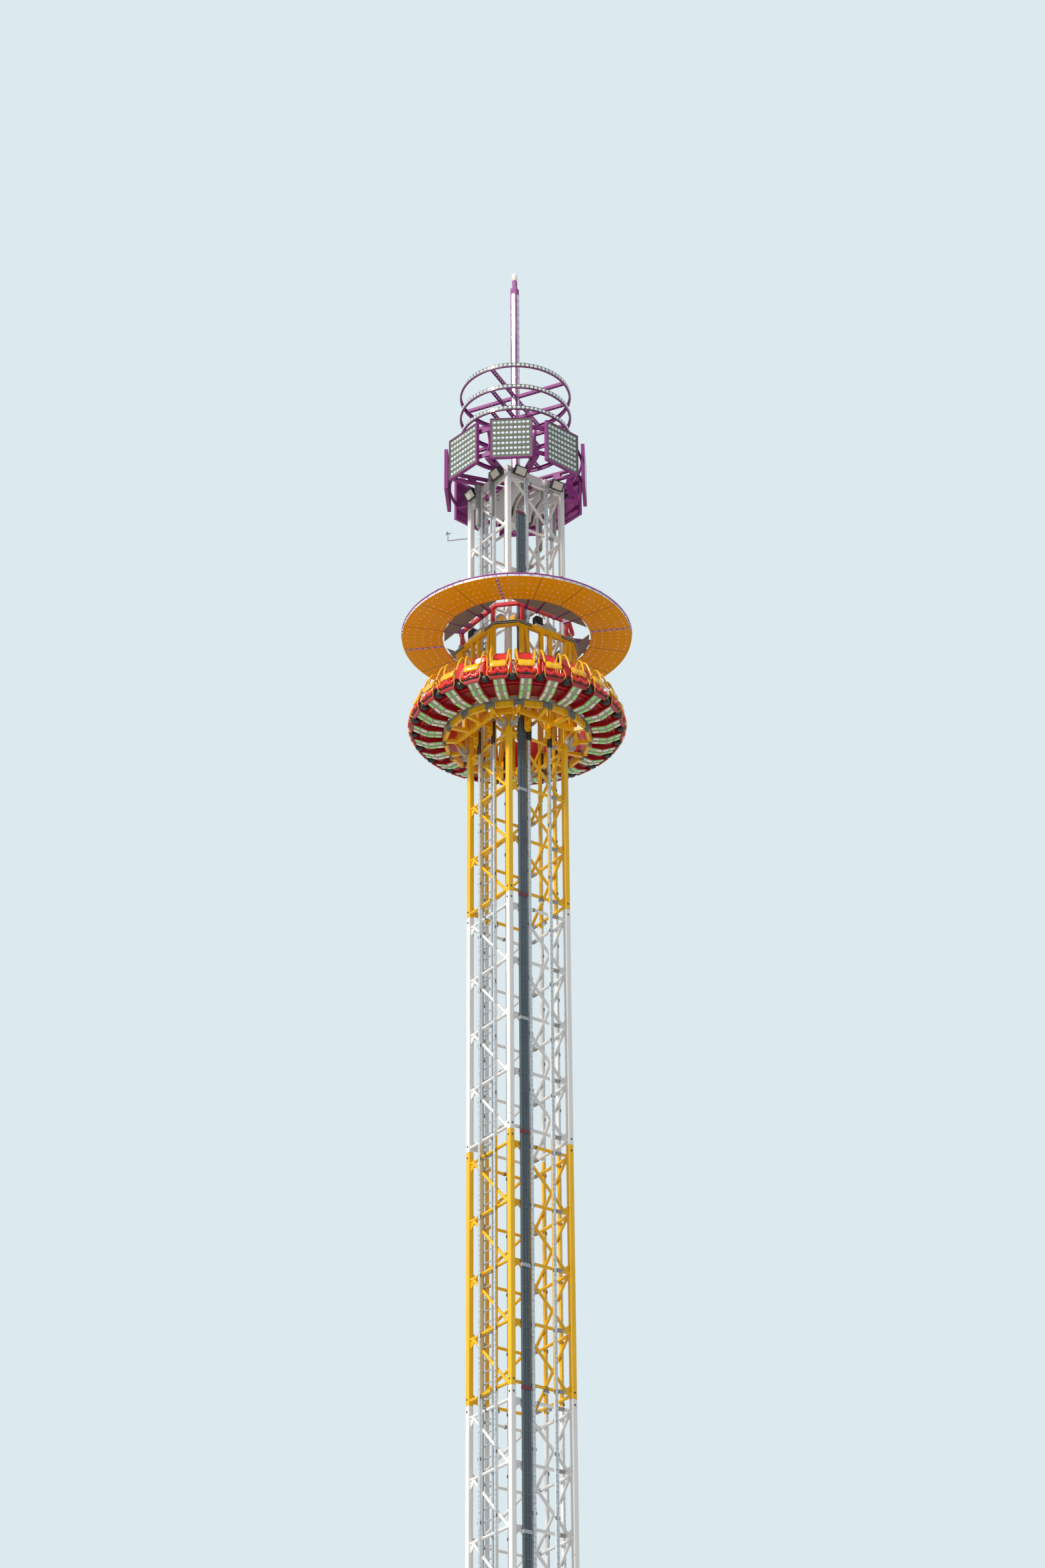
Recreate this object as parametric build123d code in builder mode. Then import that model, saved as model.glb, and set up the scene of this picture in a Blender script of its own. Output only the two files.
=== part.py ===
from build123d import *
from math import atan2, cos, degrees, hypot, radians, sin, sqrt, tan
import os

os.makedirs("parts", exist_ok=True)

# Drop tower ride with a turning ring of seats, a scale model at half size.
# Millimetres. The origin is the middle of the base frame's underside, +Z is up,
# and the four sides of the lattice tower face along X and Y.

# Lattice tower
column_spacing = 811.0
column_size = 65.0
section_height = 3000.0
section_count = 8
bay_count = 4
chord_size = 36.0
diagonal_size = 30.0
top_chord_drop = 140.0
bottom_chord_rise = 55.0
weld_gap = 0.3

# Base
base_height = 200.0
base_beam_width = 110.0
base_section_height = 1560.0
base_bay_count = 2
foot_size = 230.0
foot_thickness = 16.0
anchor_hole = 18.0
anchor_spacing = 170.0

# Guide rails on their stringers, cable duct and ladder
stringer_width = 40.0
stringer_stand = 6.0
rail_spacing = 300.0
rail_width = 36.0
rail_thickness = 12.0
rail_start = 60.0
duct_width = 110.0
duct_depth = 32.0
duct_top_drop = 640.0
ladder_offset = 97.0
ladder_width = 215.0
ladder_stile_width = 24.0
ladder_stile_depth = 20.0
ladder_tie_size = 14.0

# Head machinery
head_beam_height = 100.0
head_beam_width = 60.0
sheave_diameter = 258.0
sheave_width = 44.0
sheave_groove = 14.0
sheave_flange = 10.0
sheave_sides = 24
sheave_drop = 390.0
sheave_pair_spacing = 300.0
sheave_pin = 36.0
plate_thickness = 10.0
plate_height = 480.0
plate_arch_radius = 215.0
running_gap = 4.0
buffer_diameter = 60.0
buffer_sides = 12
buffer_length = 540.0
buffer_stand = 2.0
flood_width = 172.0
flood_height = 120.0
flood_depth = 44.0
flood_spacing = 560.0
flood_tilt = 35.0
flood_drop = 75.0
wind_arm_length = 270.0
wind_arm_size = 18.0
wind_arm_drop = 627.0
wind_post_height = 130.0

# Crown
sign_turn = 6.5
sign_count = 8
sign_radius = 838.0
sign_width = 530.0
sign_height = 595.0
sign_depth = 46.0
sign_drop = 80.0
hoop_height = 60.0
hoop_depth = 16.0
upper_hoop_rise = 400.0
crown_beam_height = 110.0
crown_beam_width = 50.0
crown_window_height = 56.0
crown_hub = 190.0
crescent_thickness = 12.0
crescent_depth = 90.0
crescent_bow = 60.0
crescent_steps = 4
light_ring_radius = 707.0
light_ring_height = 59.0
light_ring_depth = 22.0
light_ring_count = 3
light_ring_pitch = 331.0
light_ring_first_rise = 774.0
light_ring_sides = 24
spoke_size = 40.0
spoke_count = 4
mast_size = 83.0
mast_height = 3096.0
mast_top_size = 50.0
mast_top_height = 134.0
lamp_diameter = 76.0
lamp_height = 86.0
lamp_dome_height = 34.0
lamp_dome_taper = 38.0
lamp_sides = 16

# Carriage
carriage_drop = 3670.0
carriage_stand = 190.0
carriage_corner_cut = 215.0
carriage_bar_depth = 50.0
carriage_bar_height = 70.0
carriage_height = 1300.0
post_size = 46.0
post_inset = 108.0
brace_gap = 2.0
brace_lean = 140.0
centre_post_spacing = 130.0
tray_width = 300.0
tray_height = 34.0
saddle_count = 16
saddle_reach = 128.4
saddle_width = 40.0
saddle_length = 130.0
saddle_height = 80.0
saddle_arch_width = 70.0
saddle_arch_height = 36.0
saddle_arm_width = 46.0
saddle_arm_height = 44.0
wheel_diameter = 135.0
wheel_sides = 24
wheel_width = 40.0
wheel_bore = 30.0
wheel_drop = 70.0
wheel_cheek = 8.0
wheel_gap = 0.5
shoe_height = 230.0
shoe_wall = 8.0
shoe_gap = 5.0
shoe_plate_width = 90.0
shoe_plate_thickness = 14.0
shoe_plate_offset = 34.0
shoe_plate_rise = 100.0

# Canopy
roof_inset = 37.0
roof_corner_cut = 195.0
roof_bar_depth = 46.0
roof_bar_height = 40.0
roof_rise = 246.0
roof_post_size = 36.0
roof_post_spacing = 664.0
canopy_count = 16
canopy_gap = 194.6
canopy_width = 490.0
canopy_drop = 61.0
canopy_thickness = 14.0
canopy_rib_width = 24.0
canopy_rib_height = 60.0
canopy_rib_turns = (-25.5, -12.0, 12.0, 25.5)
canopy_rim_height = 52.0
canopy_rim_depth = 22.0
canopy_seam = 2.0
lining_thickness = 6.0
lining_slit = 95.0

# Seat ring
seat_count = 24
ring_rail_depth = 30.0
ring_rail_height = 40.0
ring_seat_gap = 0.4
carrier_width = 60.0
carrier_knee_length = 177.0
carrier_clearance = 12.0
carrier_rise = 80.0
carrier_depth = 100.0
panel_gap = 8.0
panel_width = 138.0
panel_thickness = 10.0
link_size = 42.0
link_offset = 270.0
skin_thickness = 6.0
skin_rise = 40.0
pan_width = 244.0
pan_gap = 10.0
pan_length = 254.0
pan_thickness = 46.0
pan_lip = 30.0
pan_lip_depth = 44.0
cushion_width = 190.0
cushion_thickness = 30.0
back_width = 226.0
back_height = 450.0
back_thickness = 34.0
back_offset = 124.7
back_shoulder = 60.0
arm_tube = 22.0
arm_spacing = 196.0
arm_reach = 214.0
arm_rise = 46.0
arm_drop = 210.0
pad_height = 90.0
pad_thickness = 40.0

# Levels and faces that several pieces share
base_top = base_height + base_section_height
tower_top = base_top + section_count * section_height
tower_half_width = (column_spacing + column_size) / 2
chord_face = (column_spacing + chord_size) / 2
stringer_face = tower_half_width + stringer_stand
rail_face = stringer_face + rail_thickness
clear_width = column_spacing - column_size - 2 * weld_gap
carriage_bottom = tower_top - carriage_drop
carriage_top = carriage_bottom + carriage_height
carriage_half_width = tower_half_width + carriage_stand
carriage_corner = hypot(carriage_half_width, carriage_half_width - carriage_corner_cut)
shoe_half_width = rail_width / 2 + shoe_gap + shoe_wall
saddle_radius = carriage_corner + saddle_reach
saddle_top = carriage_bottom + saddle_height
ring_bottom = saddle_top + ring_seat_gap
roof_half_width = carriage_half_width - roof_inset
roof_corner = hypot(roof_half_width, roof_half_width - roof_corner_cut)
roof_bottom = carriage_top + roof_rise
canopy_bottom = roof_bottom - canopy_drop
canopy_inner_radius = roof_corner + canopy_gap
canopy_outer_radius = canopy_inner_radius + canopy_width
carrier_start = saddle_radius + ring_rail_depth / 2 + weld_gap
back_radius = carrier_start + back_offset
pan_inner_radius = back_radius + back_thickness + pan_gap
pan_outer_radius = pan_inner_radius + pan_length
eighth = radians(22.5)


def lattice_side(height, bays):
    """One side of a lattice section, on the -Y columns: chords, diagonals and two rail stringers."""
    bay_height = (height - top_chord_drop - bottom_chord_rise) / bays
    run = clear_width - 2 * chord_size
    slope = degrees(atan2(bay_height, run))
    stringer_depth = stringer_face - chord_face - weld_gap
    with BuildPart() as side:
        for level in range(bays + 1):
            with Locations((0, -column_spacing / 2, bottom_chord_rise + level * bay_height)):
                Box(clear_width, chord_size, chord_size)
        for bay in range(bays):
            middle = bottom_chord_rise + (bay + 0.5) * bay_height
            with Locations(Location((0, -column_spacing / 2, middle), (0, slope, 0))):
                Box(hypot(run, bay_height), diagonal_size, diagonal_size)
        with Locations((0, -stringer_face, 0)):
            with GridLocations(rail_spacing, 1, 2, 1):
                Box(stringer_width, stringer_depth, height, align=(Align.CENTER, Align.MIN, Align.MIN))
    return side.part


def lattice_section(bottom, height, bays):
    """Four columns with a welded side between each pair."""
    side = lattice_side(height, bays)
    with BuildPart() as section:
        with Locations((0, 0, bottom)):
            with GridLocations(column_spacing, column_spacing, 2, 2):
                Box(column_size, column_size, height, align=(Align.CENTER, Align.CENTER, Align.MIN))
            with PolarLocations(0, 4):
                add(side)
    return section


def mitred_ring(half_width, corner_cut, depth, bottom, height):
    """A square ring with cut corners, of eight mitred bars."""
    taper = depth * tan(eighth)
    side_bar = (2 * (half_width - corner_cut) - weld_gap, half_width, 0)
    corner_bar = (corner_cut * sqrt(2) - weld_gap, (2 * half_width - corner_cut) / sqrt(2), 45)
    with BuildPart() as ring:
        with BuildSketch(Plane.XY.offset(bottom)):
            for length, distance, turn in (side_bar, corner_bar):
                with PolarLocations(0, 4, start_angle=turn):
                    Polygon(
                        (-length / 2, -distance),
                        (length / 2, -distance),
                        (length / 2 - taper, depth - distance),
                        (taper - length / 2, depth - distance),
                        align=None,
                    )
        extrude(amount=height)
    return ring


def straight_ring(sides, outer_radius, depth, bottom, height, start):
    """A ring of straight mitred bars, its outer faces at the given radius."""
    half_angle = radians(180 / sides)
    outer_half = outer_radius * tan(half_angle) - weld_gap / 2
    inner_half = (outer_radius - depth) * tan(half_angle) - weld_gap / 2
    with BuildPart() as ring:
        with BuildSketch(Plane.XY.offset(bottom)):
            with PolarLocations(0, sides, start_angle=start):
                Polygon(
                    (outer_radius, -outer_half),
                    (outer_radius, outer_half),
                    (outer_radius - depth, inner_half),
                    (outer_radius - depth, -inner_half),
                    align=None,
                )
        extrude(amount=height)
    return ring


def cut_corner_square(half_width, corner_cut, mode=Mode.ADD):
    """Outline of a square ring with cut corners, filled."""
    flat = half_width - corner_cut
    corners = ((flat, -half_width), (half_width, -flat), (half_width, flat), (flat, half_width))
    return Polygon(*corners, *((-x, -y) for x, y in corners), align=None, mode=mode)


# Base frame: a ring of beams under the columns with a cross between, on four anchor plates
with BuildPart() as base_frame:
    with BuildSketch():
        Rectangle(column_spacing + base_beam_width, column_spacing + base_beam_width)
        Rectangle(column_spacing - base_beam_width, column_spacing - base_beam_width, mode=Mode.SUBTRACT)
        Rectangle(column_spacing, base_beam_width)
        Rectangle(base_beam_width, column_spacing)
    extrude(amount=base_height)
    with BuildSketch():
        with GridLocations(column_spacing, column_spacing, 2, 2):
            Rectangle(foot_size, foot_size)
    extrude(amount=foot_thickness)
    with BuildSketch():
        with GridLocations(column_spacing + anchor_spacing, column_spacing + anchor_spacing, 2, 2):
            Circle(anchor_hole / 2)
    extrude(amount=foot_thickness, mode=Mode.SUBTRACT)
base_frame.part.label = "base_frame"
export_step(base_frame.part, "parts/base_frame.step")

# Short lattice section that stands on the base frame
base_section = lattice_section(base_height, base_section_height, base_bay_count)
base_section.part.label = "base_section"
export_step(base_section.part, "parts/base_section.step")

# Equal lattice sections stacked above it, the last one being the head
pattern_section = lattice_section(0, section_height, bay_count)
for number in range(1, section_count + 1):
    with BuildPart() as section:
        with Locations((0, 0, base_top + (number - 1) * section_height)):
            add(pattern_section.part)
    section.part.label = f"section_{number}"
    export_step(section.part, f"parts/section_{number}.step")

# Guide rails on the stringers, shorter on the two sides where a buffer hangs above them
rail_bottom = base_height + rail_start
buffer_bottom = tower_top - head_beam_height - buffer_length
with BuildPart() as guide_rails:
    for start, rail_top in ((0, tower_top - head_beam_height), (90, buffer_bottom - weld_gap)):
        with PolarLocations(0, 2, start_angle=start):
            with Locations((0, -stringer_face, rail_bottom)):
                with GridLocations(rail_spacing, 1, 2, 1):
                    Box(
                        rail_width,
                        rail_thickness,
                        rail_top - rail_bottom,
                        align=(Align.CENTER, Align.MAX, Align.MIN),
                    )
guide_rails.part.label = "guide_rails"
export_step(guide_rails.part, "parts/guide_rails.step")

# Cable duct on the -Y side, beside the way of a guide shoe
duct_edge = -rail_spacing / 2 - shoe_half_width - shoe_gap
with BuildPart() as cable_duct:
    with Locations((duct_edge, -chord_face - weld_gap, rail_bottom)):
        Box(
            duct_width,
            duct_depth,
            tower_top - duct_top_drop - rail_bottom,
            align=(Align.MAX, Align.MAX, Align.MIN),
        )
cable_duct.part.label = "cable_duct"
export_step(cable_duct.part, "parts/cable_duct.step")

# Ladder inside the -X side: two stiles with a tie at every section joint
ladder_face = column_spacing / 2 - chord_size / 2 - weld_gap
ladder_top = tower_top - head_beam_height
with BuildPart() as ladder:
    with Locations((-ladder_face, ladder_offset, rail_bottom)):
        with GridLocations(1, ladder_width - ladder_stile_width, 1, 2):
            Box(
                ladder_stile_depth,
                ladder_stile_width,
                ladder_top - rail_bottom,
                align=(Align.MIN, Align.CENTER, Align.MIN),
            )
    for joint in range(section_count):
        tie_z = base_top + joint * section_height
        with Locations((-ladder_face + ladder_stile_depth / 2, ladder_offset, tie_z)):
            Box(ladder_tie_size, ladder_width - ladder_stile_width, ladder_tie_size)
ladder.part.label = "ladder"
export_step(ladder.part, "parts/ladder.step")

# Head beams between the column tops, two from column to column and two between those
head_span = 2 * (chord_face - head_beam_width - weld_gap)
with BuildPart() as head_beams:
    for start, beam in ((0, clear_width), (90, head_span)):
        with PolarLocations(0, 2, start_angle=start):
            with Locations((0, -chord_face, tower_top)):
                Box(
                    beam,
                    head_beam_width,
                    head_beam_height,
                    align=(Align.CENTER, Align.MIN, Align.MAX),
                )
head_beams.part.label = "head_beams"
export_step(head_beams.part, "parts/head_beams.step")

# Hoist sheaves: grooved wheels in the head, each on a pin between two arched plates
sheave_height = tower_top - sheave_drop
plate_gap = sheave_width + 2 * running_gap
with BuildPart() as sheave:
    with BuildSketch(Plane.YZ):
        RegularPolygon(sheave_diameter / 2 - sheave_groove, sheave_sides)
    extrude(amount=sheave_width / 2, both=True)
    for flange_start in (-sheave_width / 2, sheave_width / 2 - sheave_flange):
        with BuildSketch(Plane.YZ.offset(flange_start)):
            RegularPolygon(sheave_diameter / 2, sheave_sides)
        extrude(amount=sheave_flange)
    with BuildSketch(Plane.YZ):
        RegularPolygon(sheave_pin / 2, sheave_sides)
    extrude(amount=plate_gap / 2 - weld_gap, both=True)
with BuildPart() as sheaves:
    with Locations((0, 0, sheave_height)):
        with GridLocations(sheave_pair_spacing, 1, 2, 1):
            add(sheave.part)
sheaves.part.label = "sheaves"
export_step(sheaves.part, "parts/sheaves.step")

# Arched plates that carry the sheave pins, spanning the head from side to side
with BuildPart() as sheave_plate:
    with BuildSketch(Plane.YZ):
        with Locations((0, tower_top)):
            Rectangle(head_span, plate_height, align=(Align.CENTER, Align.MAX))
        with Locations((0, tower_top - plate_height)):
            with GridLocations(head_span, 1, 2, 1):
                Circle(plate_arch_radius, mode=Mode.SUBTRACT)
    extrude(amount=plate_thickness / 2, both=True)
with BuildPart() as sheave_plates:
    with GridLocations(sheave_pair_spacing, 1, 2, 1):
        with GridLocations(plate_gap + plate_thickness, 1, 2, 1):
            add(sheave_plate.part)
sheave_plates.part.label = "sheave_plates"
export_step(sheave_plates.part, "parts/sheave_plates.step")

# Buffers: cylinders hung from the stringer tops, over the rails of the -X and +X sides
buffer_axis = stringer_face + buffer_stand + buffer_diameter / 2
with BuildPart() as buffer:
    with BuildSketch(Plane.XY.offset(buffer_bottom)):
        with Locations((0, -buffer_axis)):
            RegularPolygon(buffer_diameter / 2, buffer_sides)
    extrude(amount=buffer_length)
    with Locations((0, -stringer_face - weld_gap, tower_top - head_beam_height)):
        Box(
            buffer_diameter,
            buffer_stand + buffer_diameter - weld_gap,
            head_beam_height,
            align=(Align.CENTER, Align.MAX, Align.MIN),
        )
with BuildPart() as buffers:
    with PolarLocations(0, 2, start_angle=90):
        with GridLocations(rail_spacing, 1, 2, 1):
            add(buffer.part)
buffers.part.label = "buffers"
export_step(buffers.part, "parts/buffers.step")

# Floodlights: tilted lamps on brackets, two on the outer face of each head beam
flood_stand = flood_height * sin(radians(flood_tilt)) / 2 + flood_depth
with BuildPart() as floodlight:
    with Locations(Location((0, -flood_stand, 0), (-flood_tilt, 0, 0))):
        Box(flood_width, flood_depth, flood_height)
    Box(flood_width / 4, flood_stand, flood_depth / 2, align=(Align.CENTER, Align.MAX, Align.CENTER))
with BuildPart() as floodlights:
    with PolarLocations(0, 4):
        with Locations((0, -chord_face - weld_gap, tower_top - flood_drop)):
            with GridLocations(flood_spacing, 1, 2, 1):
                add(floodlight.part)
floodlights.part.label = "floodlights"
export_step(floodlights.part, "parts/floodlights.step")

# Wind sensor: a level arm from one column with a short post at its end
with BuildPart() as wind_sensor:
    with Locations(Location((-tower_half_width, tower_half_width, tower_top - wind_arm_drop), (0, 0, 135))):
        with Locations((weld_gap, 0, 0)):
            Box(wind_arm_length, wind_arm_size, wind_arm_size, align=(Align.MIN, Align.CENTER, Align.CENTER))
        with Locations((wind_arm_length - wind_arm_size, 0, 0)):
            Box(wind_arm_size, wind_arm_size, wind_post_height, align=(Align.CENTER, Align.CENTER, Align.MIN))
wind_sensor.part.label = "wind_sensor"
export_step(wind_sensor.part, "parts/wind_sensor.step")

# Crown beams: punched beams laid out from a hub over the head beams, one between each pair of signs
beam_turn = sign_turn + 180 / sign_count
beam_end = sign_radius - hoop_depth
beam_start = crown_hub / 2 + weld_gap
beam_length = beam_end - beam_start
with BuildPart() as crown_beam:
    with BuildSketch(Plane.XZ):
        with Locations((beam_start, tower_top)):
            Rectangle(beam_length, crown_beam_height, align=(Align.MIN, Align.MIN))
        with Locations((beam_start + beam_length / 2, tower_top + crown_beam_height / 2)):
            with GridLocations(beam_length / 3, 1, 3, 1):
                Rectangle(beam_length / 5, crown_window_height, mode=Mode.SUBTRACT)
    extrude(amount=crown_beam_width / 2, both=True)
with BuildPart() as crown_beams:
    with BuildSketch(Plane.XY.offset(tower_top)):
        RegularPolygon(crown_hub / 2, sign_count, major_radius=False, rotation=beam_turn + 180 / sign_count)
    extrude(amount=crown_beam_height)
    with PolarLocations(0, sign_count, start_angle=beam_turn):
        add(crown_beam.part)
crown_beams.part.label = "crown_beams"
export_step(crown_beams.part, "parts/crown_beams.step")

# Sign hoops: two rings of straight bars that carry the sign boards
hoop_sides = 2 * sign_count
lower_hoop_bottom = tower_top + crown_beam_height / 2 - hoop_height / 2
upper_hoop_bottom = tower_top + upper_hoop_rise
lower_hoop = straight_ring(hoop_sides, sign_radius, hoop_depth, lower_hoop_bottom, hoop_height, sign_turn)
upper_hoop = straight_ring(hoop_sides, sign_radius, hoop_depth, upper_hoop_bottom, hoop_height, sign_turn)
with BuildPart() as sign_hoops:
    add(lower_hoop.part)
    add(upper_hoop.part)
sign_hoops.part.label = "sign_hoops"
export_step(sign_hoops.part, "parts/sign_hoops.step")

# Crescent brackets: curved plates that rise from the crown beams to the upper hoop
crescent_bottom = tower_top + crown_beam_height + weld_gap
crescent_height = upper_hoop_bottom + hoop_height - crescent_bottom
crescent_edge = [
    (beam_end - weld_gap - crescent_bow * sin(radians(180 * step / crescent_steps)), step / crescent_steps)
    for step in range(crescent_steps + 1)
]
with BuildPart() as crescent:
    with BuildSketch(Plane.XZ):
        Polygon(
            *((radius, crescent_bottom + share * crescent_height) for radius, share in crescent_edge),
            *(
                (radius - crescent_depth, crescent_bottom + share * crescent_height)
                for radius, share in reversed(crescent_edge)
            ),
            align=None,
        )
    extrude(amount=crescent_thickness / 2, both=True)
with BuildPart() as sign_brackets:
    with PolarLocations(0, sign_count, start_angle=beam_turn):
        add(crescent.part)
sign_brackets.part.label = "sign_brackets"
export_step(sign_brackets.part, "parts/sign_brackets.step")

# Sign boards: plain upright boards on the outside of the hoops
with BuildPart() as sign_boards:
    with PolarLocations(sign_radius + weld_gap, sign_count, start_angle=sign_turn):
        with Locations((0, 0, tower_top - sign_drop)):
            Box(sign_depth, sign_width, sign_height, align=(Align.MIN, Align.CENTER, Align.MIN))
sign_boards.part.label = "sign_boards"
export_step(sign_boards.part, "parts/sign_boards.step")

# Mast on the hub, stepping down to a slim top
mast_bottom = tower_top + crown_beam_height
with BuildPart() as mast:
    with Locations(Location((0, 0, mast_bottom), (0, 0, beam_turn))):
        Box(mast_size, mast_size, mast_height, align=(Align.CENTER, Align.CENTER, Align.MIN))
    with Locations(Location((0, 0, mast_bottom + mast_height), (0, 0, beam_turn))):
        Box(mast_top_size, mast_top_size, mast_top_height, align=(Align.CENTER, Align.CENTER, Align.MIN))
mast.part.label = "mast"
export_step(mast.part, "parts/mast.step")

# Lamp with a domed top on the end of the mast
lamp_bottom = mast_bottom + mast_height + mast_top_height
with BuildPart() as mast_lamp:
    with BuildSketch(Plane.XY.offset(lamp_bottom)):
        RegularPolygon(lamp_diameter / 2, lamp_sides)
    extrude(amount=lamp_height)
    extrude(faces().sort_by(Axis.Z)[-1], amount=lamp_dome_height, taper=lamp_dome_taper)
mast_lamp.part.label = "mast_lamp"
export_step(mast_lamp.part, "parts/mast_lamp.step")

# Light rings around the mast, one above another
with BuildPart() as light_rings:
    for tier in range(light_ring_count):
        ring_z = tower_top + light_ring_first_rise + tier * light_ring_pitch
        light_ring = straight_ring(
            light_ring_sides, light_ring_radius, light_ring_depth, ring_z, light_ring_height, beam_turn
        )
        add(light_ring.part)
light_rings.part.label = "light_rings"
export_step(light_rings.part, "parts/light_rings.step")

# Spokes from the mast to each light ring
spoke_end = light_ring_radius - light_ring_depth - weld_gap
spoke_start = mast_size / 2 + weld_gap
with BuildPart() as ring_spokes:
    for tier in range(light_ring_count):
        spoke_z = tower_top + light_ring_first_rise + tier * light_ring_pitch + light_ring_height / 2
        with PolarLocations(spoke_start, spoke_count, start_angle=beam_turn):
            with Locations((0, 0, spoke_z)):
                Box(
                    spoke_end - spoke_start,
                    spoke_size,
                    spoke_size,
                    align=(Align.MIN, Align.CENTER, Align.CENTER),
                )
ring_spokes.part.label = "ring_spokes"
export_step(ring_spokes.part, "parts/ring_spokes.step")

# Carriage frame: a lower and an upper square ring with cut corners around the tower,
# and between them an upright and a brace at each end of every side and two uprights in its middle
lower_ring = mitred_ring(
    carriage_half_width, carriage_corner_cut, carriage_bar_depth, carriage_bottom, carriage_bar_height
)
posts_bottom = carriage_bottom + carriage_bar_height + weld_gap
posts_top = carriage_top - carriage_bar_height - weld_gap
post_line = carriage_half_width - carriage_bar_depth / 2
post_x = carriage_half_width - carriage_corner_cut - post_inset + post_size
brace_top_x = post_x - post_size - brace_gap
with BuildPart() as carriage_brace:
    with BuildSketch(Plane.XZ):
        Polygon(
            (brace_top_x - brace_lean - post_size / 2, posts_bottom),
            (brace_top_x - brace_lean + post_size / 2, posts_bottom),
            (brace_top_x + post_size / 2, posts_top),
            (brace_top_x - post_size / 2, posts_top),
            align=None,
        )
    extrude(amount=post_size / 2, both=True)
    mirror(about=Plane.YZ)
with BuildPart() as carriage_frame:
    with Locations((0, 0, 0), (0, 0, carriage_height - carriage_bar_height)):
        add(lower_ring.part)
    with PolarLocations(0, 4):
        for spacing in (2 * post_x, centre_post_spacing):
            with Locations((0, -post_line, posts_bottom)):
                with GridLocations(spacing, 1, 2, 1):
                    Box(
                        post_size,
                        post_size,
                        posts_top - posts_bottom,
                        align=(Align.CENTER, Align.CENTER, Align.MIN),
                    )
        with Locations((0, -post_line, 0)):
            add(carriage_brace.part)
carriage_frame.part.label = "carriage_frame"
export_step(carriage_frame.part, "parts/carriage_frame.step")

# Cable trays lying on the upper ring, one on each side
with BuildPart() as cable_trays:
    with PolarLocations(0, 4):
        with Locations((0, -post_line, carriage_top)):
            Box(tray_width, carriage_bar_depth, tray_height, align=(Align.CENTER, Align.CENTER, Align.MIN))
cable_trays.part.label = "cable_trays"
export_step(cable_trays.part, "parts/cable_trays.step")

# Saddle arms: beams out from the lower ring to each saddle, and links from saddle to saddle
saddle_start = 180 / saddle_count
saddle_half_angle = radians(180 / saddle_count)
saddle_inner = saddle_radius - saddle_width / 2
saddle_link = 2 * (saddle_radius * sin(saddle_half_angle) - (saddle_length / 2 + weld_gap) * cos(saddle_half_angle))
saddle_link_inset = saddle_width * sin(saddle_half_angle) + 2 * weld_gap
with BuildPart() as saddle_arms:
    with PolarLocations(0, saddle_count, start_angle=saddle_start):
        with Locations((tower_half_width, 0, carriage_bottom)):
            Box(
                saddle_inner - weld_gap - tower_half_width,
                saddle_arm_width,
                saddle_arm_height,
                align=(Align.MIN, Align.CENTER, Align.MIN),
            )
    with BuildSketch(Plane.XY.offset(carriage_bottom)):
        cut_corner_square(carriage_half_width + weld_gap, carriage_corner_cut)
    extrude(amount=carriage_bar_height, mode=Mode.SUBTRACT)
    with PolarLocations(saddle_radius * cos(saddle_half_angle), saddle_count):
        with Locations((0, 0, carriage_bottom)):
            Box(
                saddle_width - 2 * weld_gap,
                saddle_link - saddle_link_inset,
                carriage_bar_height,
                align=(Align.CENTER, Align.CENTER, Align.MIN),
            )
saddle_arms.part.label = "saddle_arms"
export_step(saddle_arms.part, "parts/saddle_arms.step")

# Saddles: arched blocks on the arm ends, on which the seat ring's rail runs
with BuildPart() as saddle:
    with BuildSketch(Plane.YZ.offset(saddle_inner)):
        Polygon(
            (-saddle_length / 2, carriage_bottom),
            (-saddle_arch_width / 2, carriage_bottom),
            (-saddle_arch_width / 4, carriage_bottom + saddle_arch_height),
            (saddle_arch_width / 4, carriage_bottom + saddle_arch_height),
            (saddle_arch_width / 2, carriage_bottom),
            (saddle_length / 2, carriage_bottom),
            (saddle_length / 2, saddle_top),
            (-saddle_length / 2, saddle_top),
            align=None,
        )
    extrude(amount=saddle_width)
with BuildPart() as saddles:
    with PolarLocations(0, saddle_count, start_angle=saddle_start):
        add(saddle.part)
saddles.part.label = "saddles"
export_step(saddles.part, "parts/saddles.step")

# Guide wheels: one on each outer face of every column, below the lower ring
wheel_axis = tower_half_width + wheel_gap + wheel_diameter / 2
wheel_height = carriage_bottom - wheel_drop
with BuildPart() as guide_wheel:
    with BuildSketch(Plane.YZ):
        RegularPolygon(wheel_diameter / 2, wheel_sides)
    extrude(amount=wheel_width / 2, both=True)
    with BuildSketch(Plane.YZ):
        RegularPolygon(wheel_bore / 2, wheel_sides // 2)
    extrude(amount=wheel_width / 2 + running_gap - weld_gap, both=True)
with BuildPart() as guide_wheels:
    with PolarLocations(0, 4):
        with Locations((0, -wheel_axis, wheel_height)):
            with GridLocations(column_spacing, 1, 2, 1):
                add(guide_wheel.part)
guide_wheels.part.label = "guide_wheels"
export_step(guide_wheels.part, "parts/guide_wheels.step")

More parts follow.
